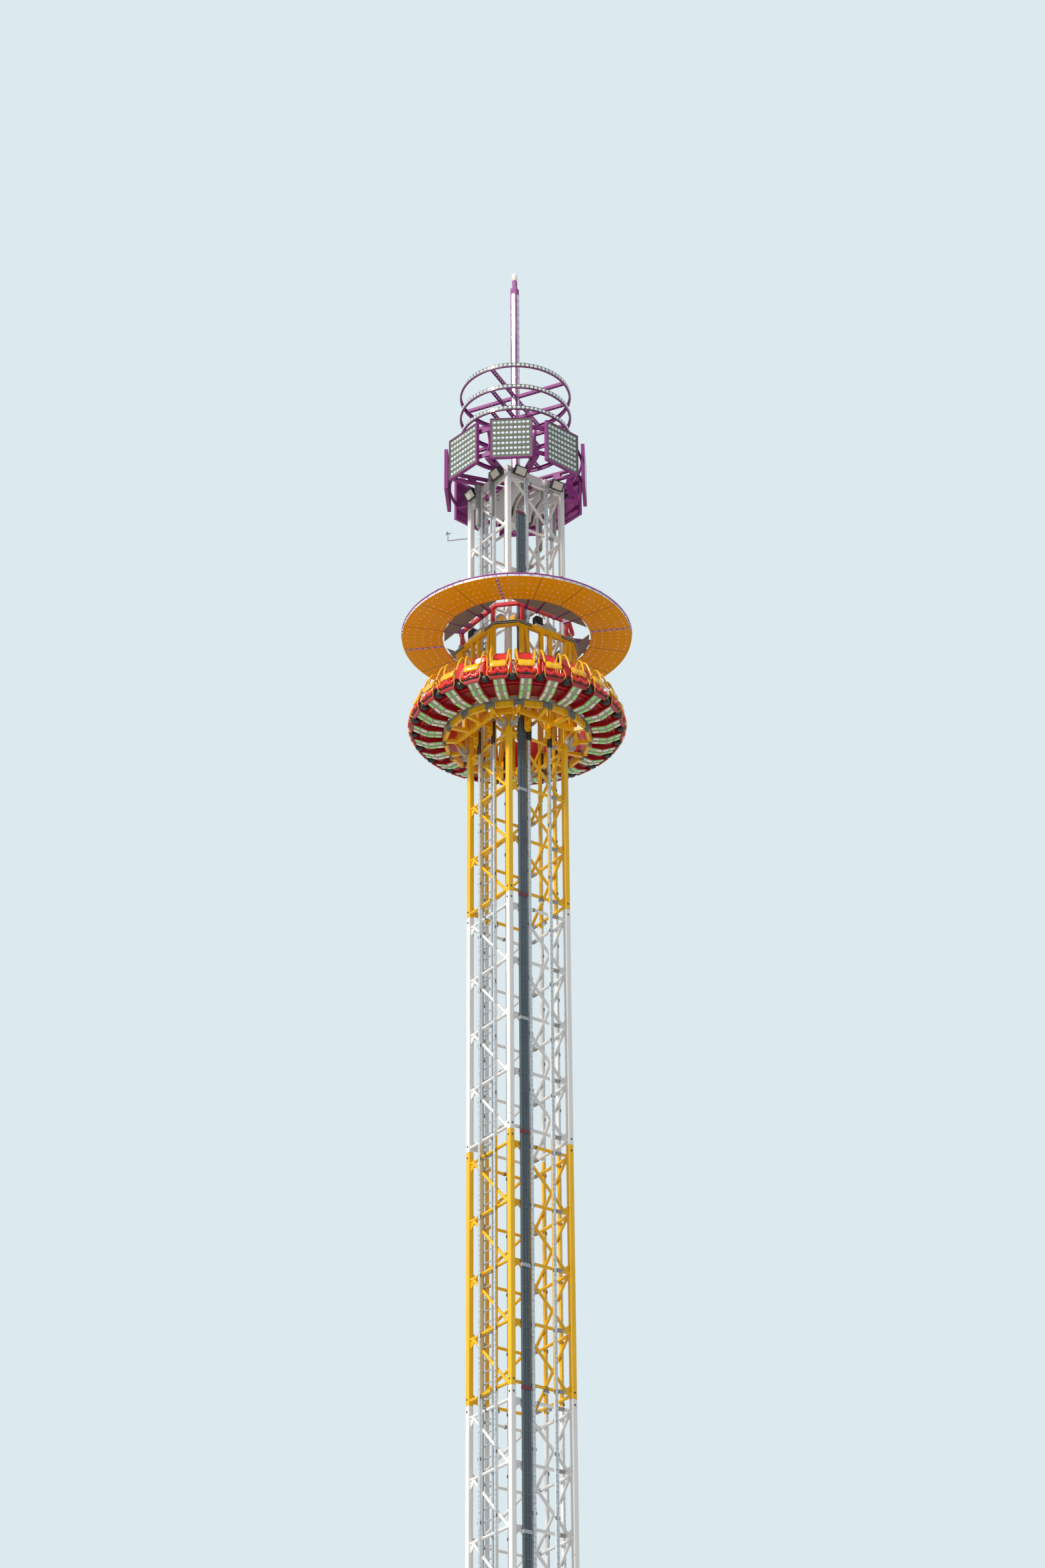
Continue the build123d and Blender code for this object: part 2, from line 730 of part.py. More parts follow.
# Wheel brackets: a pair of cheek plates for each wheel, hung under the lower ring
bracket_half_gap = wheel_width / 2 + running_gap
with BuildPart() as wheel_bracket:
    with BuildSketch(Plane.YZ):
        Polygon(
            (-carriage_half_width, carriage_bottom - weld_gap),
            (-carriage_half_width + carriage_bar_depth, carriage_bottom - weld_gap),
            (-wheel_axis + wheel_bore, wheel_height + wheel_bore),
            (-wheel_axis + wheel_bore, wheel_height - wheel_bore),
            (-wheel_axis - wheel_bore, wheel_height - wheel_bore),
            align=None,
        )
    extrude(amount=wheel_cheek)
with BuildPart() as wheel_brackets:
    with PolarLocations(0, 4):
        for column in (-1, 1):
            for cheek in (bracket_half_gap, -bracket_half_gap - wheel_cheek):
                with Locations((column * column_spacing / 2 + cheek, 0, 0)):
                    add(wheel_bracket.part)
wheel_brackets.part.label = "wheel_brackets"
export_step(wheel_brackets.part, "parts/wheel_brackets.step")

# Guide shoes: channels that run along the rails, hanging below the lower ring
shoe_top = carriage_bottom + carriage_bar_height
shoe_bottom = carriage_bottom - shoe_height
shoe_back = rail_face + shoe_gap + shoe_wall
with BuildPart() as guide_shoes:
    with BuildSketch(Plane.XY.offset(shoe_bottom)):
        with PolarLocations(0, 4):
            with Locations((-rail_spacing / 2, 0), (rail_spacing / 2, 0)):
                Polygon(
                    (-shoe_half_width, -shoe_back),
                    (shoe_half_width, -shoe_back),
                    (shoe_half_width, -stringer_face - shoe_gap),
                    (shoe_half_width - shoe_wall, -stringer_face - shoe_gap),
                    (shoe_half_width - shoe_wall, shoe_wall - shoe_back),
                    (shoe_wall - shoe_half_width, shoe_wall - shoe_back),
                    (shoe_wall - shoe_half_width, -stringer_face - shoe_gap),
                    (-shoe_half_width, -stringer_face - shoe_gap),
                    align=None,
                )
    extrude(amount=shoe_top - shoe_bottom)
guide_shoes.part.label = "guide_shoes"
export_step(guide_shoes.part, "parts/guide_shoes.step")

# Shoe plates: broad plates on the backs of the guide shoes, each with a web to the lower ring
web_length = carriage_half_width - carriage_bar_depth - shoe_back - 2 * weld_gap
with BuildPart() as shoe_plate:
    with Locations((-shoe_plate_offset, -shoe_back - weld_gap, shoe_bottom + shoe_plate_rise)):
        Box(
            shoe_plate_width,
            shoe_plate_thickness,
            shoe_top - shoe_bottom - shoe_plate_rise,
            align=(Align.CENTER, Align.MAX, Align.MIN),
        )
    with Locations((-shoe_plate_offset, -shoe_back - weld_gap, carriage_bottom)):
        Box(shoe_plate_thickness, web_length, carriage_bar_height, align=(Align.CENTER, Align.MAX, Align.MIN))
with BuildPart() as shoe_plates:
    with PolarLocations(0, 4):
        with GridLocations(rail_spacing, 1, 2, 1):
            add(shoe_plate.part)
shoe_plates.part.label = "shoe_plates"
export_step(shoe_plates.part, "parts/shoe_plates.step")

# Roof frame over the carriage: a square ring with cut corners on posts that stand on the upper ring
roof_ring = mitred_ring(roof_half_width, roof_corner_cut, roof_bar_depth, roof_bottom, roof_bar_height)
roof_post_line = (roof_half_width + carriage_half_width - carriage_bar_depth) / 2
with BuildPart() as roof_frame:
    add(roof_ring.part)
    with PolarLocations(0, 4):
        with Locations((0, -roof_post_line, carriage_top)):
            with GridLocations(roof_post_spacing, 1, 2, 1):
                Box(
                    roof_post_size,
                    roof_post_size,
                    roof_rise - weld_gap,
                    align=(Align.CENTER, Align.CENTER, Align.MIN),
                )
roof_frame.part.label = "roof_frame"
export_step(roof_frame.part, "parts/roof_frame.step")

# Canopy panels: flat ring sectors under the ribs, each edge of two straight runs
canopy_top = canopy_bottom + canopy_thickness
canopy_half_angle = 180 / canopy_count
canopy_corner = 1 / cos(radians(canopy_half_angle / 2))
panel_turns = (-canopy_half_angle, 0, canopy_half_angle)
with BuildPart() as canopy_panel:
    with BuildSketch(Plane.XY.offset(canopy_bottom)):
        Polygon(
            *(Vector(canopy_outer_radius * canopy_corner, 0).rotate(Axis.Z, turn) for turn in panel_turns),
            *(Vector(canopy_inner_radius * canopy_corner, 0).rotate(Axis.Z, -turn) for turn in panel_turns),
            align=None,
        )
    extrude(amount=canopy_thickness)
with BuildPart() as canopy_panels:
    with PolarLocations(canopy_seam, canopy_count, start_angle=canopy_half_angle):
        add(canopy_panel.part)
canopy_panels.part.label = "canopy_panels"
export_step(canopy_panels.part, "parts/canopy_panels.step")

# Canopy ribs: four beams from each side of the roof frame out over the panels
with BuildPart() as canopy_ribs:
    for rib_turn in canopy_rib_turns:
        with PolarLocations(0, 4, start_angle=rib_turn):
            with Locations((tower_half_width, 0, canopy_top + weld_gap)):
                Box(
                    canopy_outer_radius - tower_half_width,
                    canopy_rib_width,
                    canopy_rib_height,
                    align=(Align.MIN, Align.CENTER, Align.MIN),
                )
    with BuildSketch(Plane.XY.offset(canopy_top)):
        cut_corner_square(roof_half_width + weld_gap, roof_corner_cut)
    extrude(amount=2 * canopy_rib_height, mode=Mode.SUBTRACT)
canopy_ribs.part.label = "canopy_ribs"
export_step(canopy_ribs.part, "parts/canopy_ribs.step")

# Canopy lining: thin panels between the ribs inside the canopy, open towards the roof frame
lining_width = 2 * (roof_half_width + lining_slit)
with BuildPart() as canopy_lining:
    with BuildSketch(Plane.XY.offset(canopy_top + weld_gap)):
        RegularPolygon(canopy_inner_radius, canopy_count)
        Rectangle(lining_width, lining_width, mode=Mode.SUBTRACT)
        for rib_turn in canopy_rib_turns:
            with PolarLocations(0, 4, start_angle=rib_turn):
                Rectangle(
                    2 * canopy_inner_radius,
                    canopy_rib_width + 2 * weld_gap,
                    align=(Align.MIN, Align.CENTER),
                    mode=Mode.SUBTRACT,
                )
    extrude(amount=lining_thickness)
canopy_lining.part.label = "canopy_lining"
export_step(canopy_lining.part, "parts/canopy_lining.step")

# Canopy rim: a band of straight bars around the outer edge of the panels
canopy_rim = straight_ring(
    2 * canopy_count,
    canopy_outer_radius + canopy_seam + weld_gap + canopy_rim_depth,
    canopy_rim_depth,
    canopy_bottom,
    canopy_rim_height,
    canopy_half_angle / 2,
)
canopy_rim.part.label = "canopy_rim"
export_step(canopy_rim.part, "parts/canopy_rim.step")

# Ring rail: straight bars joined in a circle, running on the saddles
ring_rail = straight_ring(
    seat_count, saddle_radius + ring_rail_depth / 2, ring_rail_depth, ring_bottom, ring_rail_height, 0
)
ring_rail.part.label = "ring_rail"
export_step(ring_rail.part, "parts/ring_rail.step")

# Light panels: bent plates under the seat carriers
panel_bottom = ring_bottom
carrier_inner_radius = saddle_radius + saddle_width / 2 + panel_gap
carrier_knee_radius = carrier_inner_radius + carrier_knee_length
carrier_outer_radius = pan_outer_radius - pan_lip_depth - carrier_clearance
panel_slope = atan2(carrier_rise, carrier_outer_radius - carrier_knee_radius)
panel_fold = panel_thickness * tan(panel_slope / 2)
with BuildPart() as light_panel:
    with BuildSketch(Plane.XZ):
        Polygon(
            (carrier_inner_radius, panel_bottom),
            (carrier_knee_radius, panel_bottom),
            (carrier_outer_radius, panel_bottom + carrier_rise),
            (
                carrier_outer_radius - panel_thickness * sin(panel_slope),
                panel_bottom + carrier_rise + panel_thickness * cos(panel_slope),
            ),
            (carrier_knee_radius - panel_fold, panel_bottom + panel_thickness),
            (carrier_inner_radius, panel_bottom + panel_thickness),
            align=None,
        )
    extrude(amount=panel_width / 2, both=True)
with BuildPart() as light_panels:
    with PolarLocations(0, seat_count):
        add(light_panel.part)
light_panels.part.label = "light_panels"
export_step(light_panels.part, "parts/light_panels.step")

# Seat ring frame: radial carriers over the light panels, from the ring rail outwards,
# with a link tube from each carrier to the next
carrier_bottom = panel_bottom + panel_thickness + weld_gap
carrier_top = carrier_bottom + carrier_depth
carrier_tip = carrier_outer_radius - panel_thickness * sin(panel_slope)
with BuildPart() as seat_carrier:
    with BuildSketch(Plane.XZ):
        Polygon(
            (carrier_start, carrier_bottom),
            (carrier_knee_radius - panel_fold, carrier_bottom),
            (carrier_tip, carrier_bottom + (carrier_tip - carrier_knee_radius + panel_fold) * tan(panel_slope)),
            (carrier_tip, carrier_top),
            (carrier_start, carrier_top),
            align=None,
        )
    extrude(amount=carrier_width / 2, both=True)
link_half_angle = radians(180 / seat_count)
link_radius = carrier_start + link_offset
link_length = 2 * (link_radius * sin(link_half_angle) - carrier_width / 2 / cos(link_half_angle))
link_inset = link_size * tan(link_half_angle) + 2 * weld_gap
with BuildPart() as seat_ring_frame:
    with PolarLocations(0, seat_count):
        add(seat_carrier.part)
    with PolarLocations(link_radius * cos(link_half_angle), seat_count, start_angle=180 / seat_count):
        with Locations((0, 0, carrier_top)):
            Box(link_size, link_length - link_inset, link_size, align=(Align.CENTER, Align.CENTER, Align.MAX))
seat_ring_frame.part.label = "seat_ring_frame"
export_step(seat_ring_frame.part, "parts/seat_ring_frame.step")

# Ring skins: sheets between the carriers that close the ring from below
skin_cut = (carrier_width / 2 + weld_gap) / cos(link_half_angle)
with BuildPart() as ring_skin:
    with BuildSketch(Plane.XY.offset(carrier_bottom + skin_rise)):
        Polygon(
            (carrier_start, -carrier_start * tan(link_half_angle) + skin_cut),
            (carrier_start, carrier_start * tan(link_half_angle) - skin_cut),
            (link_radius - link_size, (link_radius - link_size) * tan(link_half_angle) - skin_cut),
            (link_radius - link_size, -(link_radius - link_size) * tan(link_half_angle) + skin_cut),
            align=None,
        )
    extrude(amount=skin_thickness)
with BuildPart() as ring_skins:
    with PolarLocations(0, seat_count, start_angle=180 / seat_count):
        add(ring_skin.part)
ring_skins.part.label = "ring_skins"
export_step(ring_skins.part, "parts/ring_skins.step")

# Seat pans: shells on the carrier ends with a lip that hangs over the front
pan_bottom = carrier_top + weld_gap
pan_top = pan_bottom + pan_thickness
with BuildPart() as seat_pan:
    with BuildSketch(Plane.XZ):
        Polygon(
            (pan_inner_radius, pan_bottom),
            (pan_outer_radius - pan_lip_depth, pan_bottom),
            (pan_outer_radius - pan_lip_depth, pan_top - pan_thickness - pan_lip),
            (pan_outer_radius - pan_lip_depth / 2, pan_top - pan_thickness - pan_lip),
            (pan_outer_radius, pan_top),
            (pan_inner_radius, pan_top),
            align=None,
        )
    extrude(amount=pan_width / 2, both=True)
with BuildPart() as seat_pans:
    with PolarLocations(0, seat_count):
        add(seat_pan.part)
seat_pans.part.label = "seat_pans"
export_step(seat_pans.part, "parts/seat_pans.step")

# Seat backs: upright shells with cut shoulders, standing on the carriers behind the pans
with BuildPart() as seat_back:
    with BuildSketch(Plane.YZ.offset(back_radius)):
        with Locations((0, pan_bottom)):
            Rectangle(back_width, back_height, align=(Align.CENTER, Align.MIN))
        chamfer(vertices().group_by(Axis.Y)[-1], back_shoulder)
    extrude(amount=back_thickness)
with BuildPart() as seat_backs:
    with PolarLocations(0, seat_count):
        add(seat_back.part)
seat_backs.part.label = "seat_backs"
export_step(seat_backs.part, "parts/seat_backs.step")

# Seat cushions: one on each pan and one on each back
cushion_inner = back_radius + back_thickness + weld_gap
with BuildPart() as seat_cushions:
    with PolarLocations(0, seat_count):
        with Locations((cushion_inner + cushion_thickness + weld_gap, 0, pan_top + weld_gap)):
            Box(
                pan_outer_radius - pan_lip_depth - cushion_inner - cushion_thickness,
                cushion_width,
                cushion_thickness,
                align=(Align.MIN, Align.CENTER, Align.MIN),
            )
        with Locations((cushion_inner, 0, pan_top + weld_gap)):
            Box(
                cushion_thickness,
                cushion_width,
                back_height - back_shoulder - pan_thickness,
                align=(Align.MIN, Align.CENTER, Align.MIN),
            )
seat_cushions.part.label = "seat_cushions"
export_step(seat_cushions.part, "parts/seat_cushions.step")

# Restraint arms: bent tubes from each side of a seat back over the shoulders to the lap
arm_foot_z = pan_bottom + back_height - back_shoulder - arm_tube
arm_start = back_radius + back_thickness + weld_gap
with BuildPart() as restraint_arm:
    with BuildLine(Plane.XZ) as arm_path:
        Polyline(
            (arm_start, arm_foot_z),
            (arm_start + arm_reach / 3, arm_foot_z + arm_rise),
            (arm_start + 2 * arm_reach / 3, arm_foot_z),
            (arm_start + arm_reach, arm_foot_z - arm_drop),
        )
    with BuildSketch(Plane.YZ.offset(arm_start)):
        with Locations((0, arm_foot_z)):
            Rectangle(arm_tube, arm_tube)
    sweep(path=arm_path.line, transition=Transition.RIGHT)
with BuildPart() as restraint_arms:
    with PolarLocations(0, seat_count):
        with GridLocations(1, arm_spacing + arm_tube + 2 * weld_gap, 1, 2):
            add(restraint_arm.part)
restraint_arms.part.label = "restraint_arms"
export_step(restraint_arms.part, "parts/restraint_arms.step")

# Restraint pads: lap pads between the lower ends of the two arms
pad_radius = arm_start + arm_reach - arm_reach / 3 * pad_height / 2 / arm_drop
with BuildPart() as restraint_pads:
    with PolarLocations(0, seat_count):
        with Locations((pad_radius, 0, arm_foot_z - arm_drop)):
            Box(pad_thickness, arm_spacing, pad_height, align=(Align.CENTER, Align.CENTER, Align.MIN))
restraint_pads.part.label = "restraint_pads"
export_step(restraint_pads.part, "parts/restraint_pads.step")
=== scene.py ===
from math import cos, pi, radians, sin, tan

import bmesh
import bpy
import numpy as np
from mathutils import Matrix, Vector


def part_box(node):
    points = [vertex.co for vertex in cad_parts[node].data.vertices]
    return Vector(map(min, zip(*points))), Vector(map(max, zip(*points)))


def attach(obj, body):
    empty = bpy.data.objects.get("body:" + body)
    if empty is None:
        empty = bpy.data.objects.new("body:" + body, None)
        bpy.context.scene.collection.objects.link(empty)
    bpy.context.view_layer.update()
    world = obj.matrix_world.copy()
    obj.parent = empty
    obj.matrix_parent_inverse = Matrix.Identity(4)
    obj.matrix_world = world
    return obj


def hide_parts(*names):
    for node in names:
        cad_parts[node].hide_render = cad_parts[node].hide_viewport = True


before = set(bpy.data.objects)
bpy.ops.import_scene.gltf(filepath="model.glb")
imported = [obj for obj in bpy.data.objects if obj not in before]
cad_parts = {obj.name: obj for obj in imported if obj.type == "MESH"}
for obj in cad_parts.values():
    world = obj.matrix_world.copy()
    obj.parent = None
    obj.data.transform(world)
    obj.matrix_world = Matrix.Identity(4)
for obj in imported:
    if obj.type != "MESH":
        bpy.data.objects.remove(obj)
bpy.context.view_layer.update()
scene = bpy.context.scene

# The place: a plain pale floor under an even pale surround, one broad soft lamp high on the
# left, and the camera near the ground before the tower's front corner, looking up at the ride.
floor_radius, floor_sides, floor_cloud_mm = 150.0, 96, 2500
fill_strength, sky_strength = 0.42, 1.0
lamp_way, lamp_strength, lamp_spread = Vector((0.80, 0.10, -0.60)), 3.0, 0.12
camera_place = Vector((-20.774, -29.579, 0.8))
camera_heading, camera_pitch, camera_roll = radians(-35.175), radians(29.8267), radians(-0.3874)
camera_lens, camera_sensor, camera_reach = 79.79, 36, 500


def linear(code, alpha=1.0):
    """An sRGB hex colour as linear light."""
    parts = [int(code[i:i + 2], 16) / 255 for i in (1, 3, 5)]
    return (*(p / 12.92 if p <= 0.04045 else ((p + 0.055) / 1.055) ** 2.4 for p in parts), alpha)


def node(tree, kind, inputs=None, **settings):
    """Adds a node with its settings; inputs gives each socket a value, a node or an output."""
    made = tree.nodes.new(kind)
    for name, value in settings.items():
        setattr(made, name, value)
    for key, value in (inputs or {}).items():
        if isinstance(value, bpy.types.Node):
            value = value.outputs[0]
        if isinstance(value, bpy.types.NodeSocket):
            tree.links.new(value, made.inputs[key])
        else:
            made.inputs[key].default_value = value
    return made


def bare_finish(name):
    """A new material, with its tree, its shader and the piece's own coordinates."""
    finish = bpy.data.materials.new(name)
    finish.use_nodes = True
    tree = finish.node_tree
    return finish, tree, tree.nodes["Principled BSDF"], node(tree, "ShaderNodeTexCoord").outputs["Object"]


ahead = Vector((
    -sin(camera_heading) * cos(camera_pitch), cos(camera_heading) * cos(camera_pitch), sin(camera_pitch)
))
aside = Vector((cos(camera_heading), sin(camera_heading), 0))
above = aside.cross(ahead)
rolled_aside = cos(camera_roll) * aside + sin(camera_roll) * above
rolled_above = cos(camera_roll) * above - sin(camera_roll) * aside
camera = bpy.data.objects.new("camera", bpy.data.cameras.new("camera"))
camera.data.lens = camera_lens
camera.data.sensor_width = camera_sensor
camera.data.clip_end = camera_reach
turn = Matrix((rolled_aside, rolled_above, -ahead)).transposed().to_4x4()
camera.matrix_world = Matrix.Translation(camera_place) @ turn
scene.collection.objects.link(camera)
scene.camera = camera
scene.view_settings.view_transform = "Standard"

surround = bpy.data.worlds.new("surround")
scene.world = surround
surround.use_nodes = True
tree = surround.node_tree
tree.nodes.clear()
rays = node(tree, "ShaderNodeLightPath")
seen = node(tree, "ShaderNodeMath", {0: rays.outputs["Is Camera Ray"], 1: rays.outputs["Is Glossy Ray"]},
            operation="MAXIMUM")
fill = node(tree, "ShaderNodeBackground", {"Color": linear("#F4F8FF"), "Strength": fill_strength})
sky = node(tree, "ShaderNodeBackground", {"Color": linear("#DCE9EE"), "Strength": sky_strength})
both = node(tree, "ShaderNodeMixShader", {0: seen, 1: fill, 2: sky})
node(tree, "ShaderNodeOutputWorld", {"Surface": both})

lamp = bpy.data.objects.new("soft_lamp", bpy.data.lights.new("soft_lamp", "SUN"))
lamp.data.energy = lamp_strength
lamp.data.angle = lamp_spread
lamp.data.color = (1.0, 0.965, 0.91)
lamp.rotation_euler = lamp_way.to_track_quat("-Z", "Y").to_euler()
scene.collection.objects.link(lamp)

# Smooth concrete: matt and pale, in faint wide clouds.
floor_finish, tree, coat, place = bare_finish("pale_floor")
grain = node(tree, "ShaderNodeTexNoise", {"Vector": place, "Scale": 1000 / floor_cloud_mm, "Detail": 4})
tint = node(tree, "ShaderNodeMix", {0: grain.outputs["Fac"], 6: linear("#C9CCCD"), 7: linear("#D6D8D8")},
            data_type="RGBA")
tree.links.new(tint.outputs[2], coat.inputs["Base Color"])
coat.inputs["Roughness"].default_value = 0.9
floor_mesh = bpy.data.meshes.new("floor")
floor_edge = [2 * pi * k / floor_sides for k in range(floor_sides)]
floor_points = [(floor_radius * cos(a), floor_radius * sin(a), 0) for a in floor_edge]
floor_mesh.from_pydata(floor_points, [], [tuple(range(floor_sides))])
floor_mesh.materials.append(floor_finish)
floor = bpy.data.objects.new("floor", floor_mesh)
scene.collection.objects.link(floor)

# Base frame: a ring of welded box beams with a cross between them, painted grey, held down by
# an anchor bolt through the outer corner of each foot plate. The beams stay as they were built.
# Studs, here and on every piece, are sunk a little into the face that they stand on.
anchor_place, foot_top, anchor_size = 0.4905, 0.016, (0.015, 0.015, 0.016, 6)
sunk, zinc_cloud_mm = 0.0005, 30


def painted_steel(name, colour, dust, patch_mm=420, streak_mm=70, rough=(0.28, 0.5), dust_share=0.5,
                  chip="#6E6A63", chip_mm=26, chip_share=0.04, peel_mm=14, lacquer=0.15, shine=0.5):
    """Sprayed two-pack paint on steel: an even gloss coat with faint clouding, rain streaks of dust
    down the uprights, a few chips to the primer and a slight orange-peel, drawn coarse so it shows."""
    finish, tree, coat, place = bare_finish(name)
    cloud = node(tree, "ShaderNodeTexNoise", {"Vector": place, "Scale": 1000 / patch_mm, "Detail": 5})
    long_way = node(tree, "ShaderNodeMapping", {"Vector": place, "Scale": (1, 1, 0.06)})
    streak = node(tree, "ShaderNodeTexNoise", {"Vector": long_way, "Scale": 1000 / streak_mm, "Detail": 4,
                                               "Roughness": 0.65})
    dirt = node(tree, "ShaderNodeMapRange", {"Value": streak.outputs["Fac"], "From Min": 0.5,
                                             "From Max": 0.78, "To Max": dust_share})
    both = node(tree, "ShaderNodeMath", {0: dirt, 1: cloud.outputs["Fac"]}, operation="MULTIPLY")
    dusty = node(tree, "ShaderNodeMix", {0: both, 6: linear(colour), 7: linear(dust)}, data_type="RGBA")
    speck = node(tree, "ShaderNodeTexNoise", {"Vector": place, "Scale": 1000 / chip_mm, "Detail": 3})
    chips = node(tree, "ShaderNodeMapRange", {"Value": speck.outputs["Fac"], "From Min": 0.74 - chip_share,
                                              "From Max": 0.76 - chip_share, "To Max": 0.8})
    worn = node(tree, "ShaderNodeMix", {0: chips, 6: dusty.outputs[2], 7: linear(chip)}, data_type="RGBA")
    tree.links.new(worn.outputs[2], coat.inputs["Base Color"])
    gloss = node(tree, "ShaderNodeMapRange", {"Value": cloud.outputs["Fac"], "From Min": 0.3, "From Max": 0.7,
                                              "To Min": rough[0], "To Max": rough[1]})
    tree.links.new(gloss.outputs[0], coat.inputs["Roughness"])
    peel = node(tree, "ShaderNodeTexNoise", {"Vector": place, "Scale": 1000 / peel_mm, "Detail": 2})
    bump = node(tree, "ShaderNodeBump", {"Height": peel.outputs["Fac"], "Strength": 0.06, "Distance": 0.002})
    tree.links.new(bump.outputs[0], coat.inputs["Normal"])
    coat.inputs["Coat Weight"].default_value = lacquer
    coat.inputs["Specular IOR Level"].default_value = shine
    return finish


def finished(name, finish):
    """A built node gets its finish."""
    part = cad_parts[name]
    part.data.materials.clear()
    part.data.materials.append(finish)
    return part


def maker(name, **sizes):
    """An empty node tree that changes a mesh, with a named input for each size; gives its input node too."""
    tree = bpy.data.node_groups.new(name, "GeometryNodeTree")
    kinds = {int: "NodeSocketInt", float: "NodeSocketFloat", tuple: "NodeSocketVector"}
    tree.interface.new_socket("Geometry", in_out="INPUT", socket_type="NodeSocketGeometry")
    for size, value in sizes.items():
        socket = tree.interface.new_socket(size, in_out="INPUT", socket_type=kinds[type(value)])
        socket.default_value = value
    tree.interface.new_socket("Finish", in_out="INPUT", socket_type="NodeSocketMaterial")
    tree.interface.new_socket("Geometry", in_out="OUTPUT", socket_type="NodeSocketGeometry")
    return tree, node(tree, "NodeGroupInput").outputs


def close(tree, geometry, finish):
    """Ends a tree: instances become mesh and take their finish."""
    real = node(tree, "GeometryNodeRealizeInstances", {0: geometry})
    dressed = node(tree, "GeometryNodeSetMaterial", {"Geometry": real, "Material": finish})
    node(tree, "NodeGroupOutput", {0: dressed})


def worked_out(piece):
    """The plain mesh of a piece with its modifiers, which are then taken off."""
    graph = bpy.context.evaluated_depsgraph_get()
    mesh = bpy.data.meshes.new_from_object(piece.evaluated_get(graph), depsgraph=graph)
    piece.modifiers.clear()
    return mesh


def grown(name, seed, tree, finish, **sizes):
    """The plain mesh that a tree makes of a seed mesh, as an object."""
    holder = bpy.data.objects.new(name, seed)
    scene.collection.objects.link(holder)
    step = holder.modifiers.new("maker", "NODES")
    step.node_group = tree
    for socket in tree.interface.items_tree:
        if socket.in_out == "INPUT" and socket.name in sizes:
            step[socket.identifier] = sizes[socket.name]
        if socket.in_out == "INPUT" and socket.name == "Finish":
            step[socket.identifier] = finish
    holder.data = worked_out(holder)
    holder.data.materials.clear()
    holder.data.materials.append(finish)
    return holder


def fitted(piece, body, slot, *nodes):
    """Sets a piece on its body, with the nodes it stands for; the slot argument is not used."""
    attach(piece, body)
    if nodes:
        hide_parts(*nodes)
    return piece


studs, sizes = maker("studs", **{"Foot": 0.01, "Top": 0.01, "Height": 0.01, "Sides": 6})
shape = node(studs, "GeometryNodeMeshCone", {"Vertices": sizes["Sides"], "Radius Top": sizes["Top"],
                                             "Radius Bottom": sizes["Foot"], "Depth": sizes["Height"]})
aim = node(studs, "GeometryNodeInputNamedAttribute", {"Name": "aim"}, data_type="FLOAT_VECTOR")
facing = node(studs, "FunctionNodeAlignRotationToVector", {"Vector": aim}, axis="Z")
set_out = node(studs, "GeometryNodeInstanceOnPoints", {"Points": sizes["Geometry"], "Instance": shape,
                                                       "Rotation": facing})
close(studs, set_out, sizes["Finish"])


def stud_set(name, places, finish, foot, top, height, sides):
    """Bolt heads or lamp caps, one at each (point, direction): radius at foot and top, height, sides."""
    seed = bpy.data.meshes.new(name)
    seed.from_pydata([tuple(point) for point, _ in places], [], [])
    aims = seed.attributes.new("aim", "FLOAT_VECTOR", "POINT")
    aims.data.foreach_set("vector", np.array([tuple(way) for _, way in places], np.float32).ravel())
    return grown(name, seed, studs, finish, Foot=foot, Top=top, Height=height, Sides=sides)


# Plain grey enamel: dull, with brown dust.
base_paint = painted_steel("grey_base_paint", "#7A7F84", "#5A5650", rough=(0.45, 0.65))
finished("base_frame", base_paint)
# Zinc-plated steel: bright when new, soon dulled to an even pale grey.
bolt_zinc, tree, coat, place = bare_finish("zinc_plated_bolts")
dull = node(tree, "ShaderNodeTexNoise", {"Vector": place, "Scale": 1000 / zinc_cloud_mm, "Detail": 3})
tint = node(tree, "ShaderNodeMix", {0: dull.outputs["Fac"], 6: linear("#8F9497"), 7: linear("#4C4E50")},
            data_type="RGBA")
tree.links.new(tint.outputs[2], coat.inputs["Base Color"])
coat.inputs["Metallic"].default_value = 0.7
coat.inputs["Roughness"].default_value = 0.45
corners = [(x, y) for x in (-1, 1) for y in (-1, 1)]
anchors = [((x * anchor_place, y * anchor_place, foot_top - sunk), (0, 0, 1)) for x, y in corners]
fitted(stud_set("anchor_nuts", anchors, bolt_zinc, *anchor_size), "tower", "base_grey")

# Lattice tower: square steel columns in 3 m lengths with round tubes welded between them, one
# chord and one diagonal to a bay, gusset plates in the corners and flat stringers for the rails.
# Every other length is sprayed yellow, the others white.
column_spacing, column_width, column_round, column_gap = 0.811, 0.065, 0.009, 0.0015
section_count, section_height, section_bays = 8, 3.0, 4
base_low, base_top, base_bays = 0.200, 1.760, 2
top_drop, bottom_rise = 0.140, 0.055
chord_radius, chord_bite, brace_radius, brace_inset = 0.0190, 0.004, 0.0180, 0.036
clear_half = (column_spacing - column_width) / 2
chord_half, brace_run = clear_half + chord_bite, clear_half - brace_inset
stringer_half, stringer_out, stringer_in, stringer_gap = 0.020, 0.444, 0.4236, 0.001
rail_places = (-0.150, 0.150)
gusset_reach, gusset_rise, gusset_half, gusset_corner = 0.105, 0.012, 0.005, clear_half + 0.002
pin_rise, pin_out = 0.07, column_width / 2 - sunk
pin_size = (0.0115, 0.0100, 0.006, 10)
quarter_turns = [Matrix.Rotation(q * pi / 2, 3, "Z") for q in range(4)]
axis_order = {"z": (0, 1, 2), "y": (0, 2, 1), "x": (2, 0, 1)}


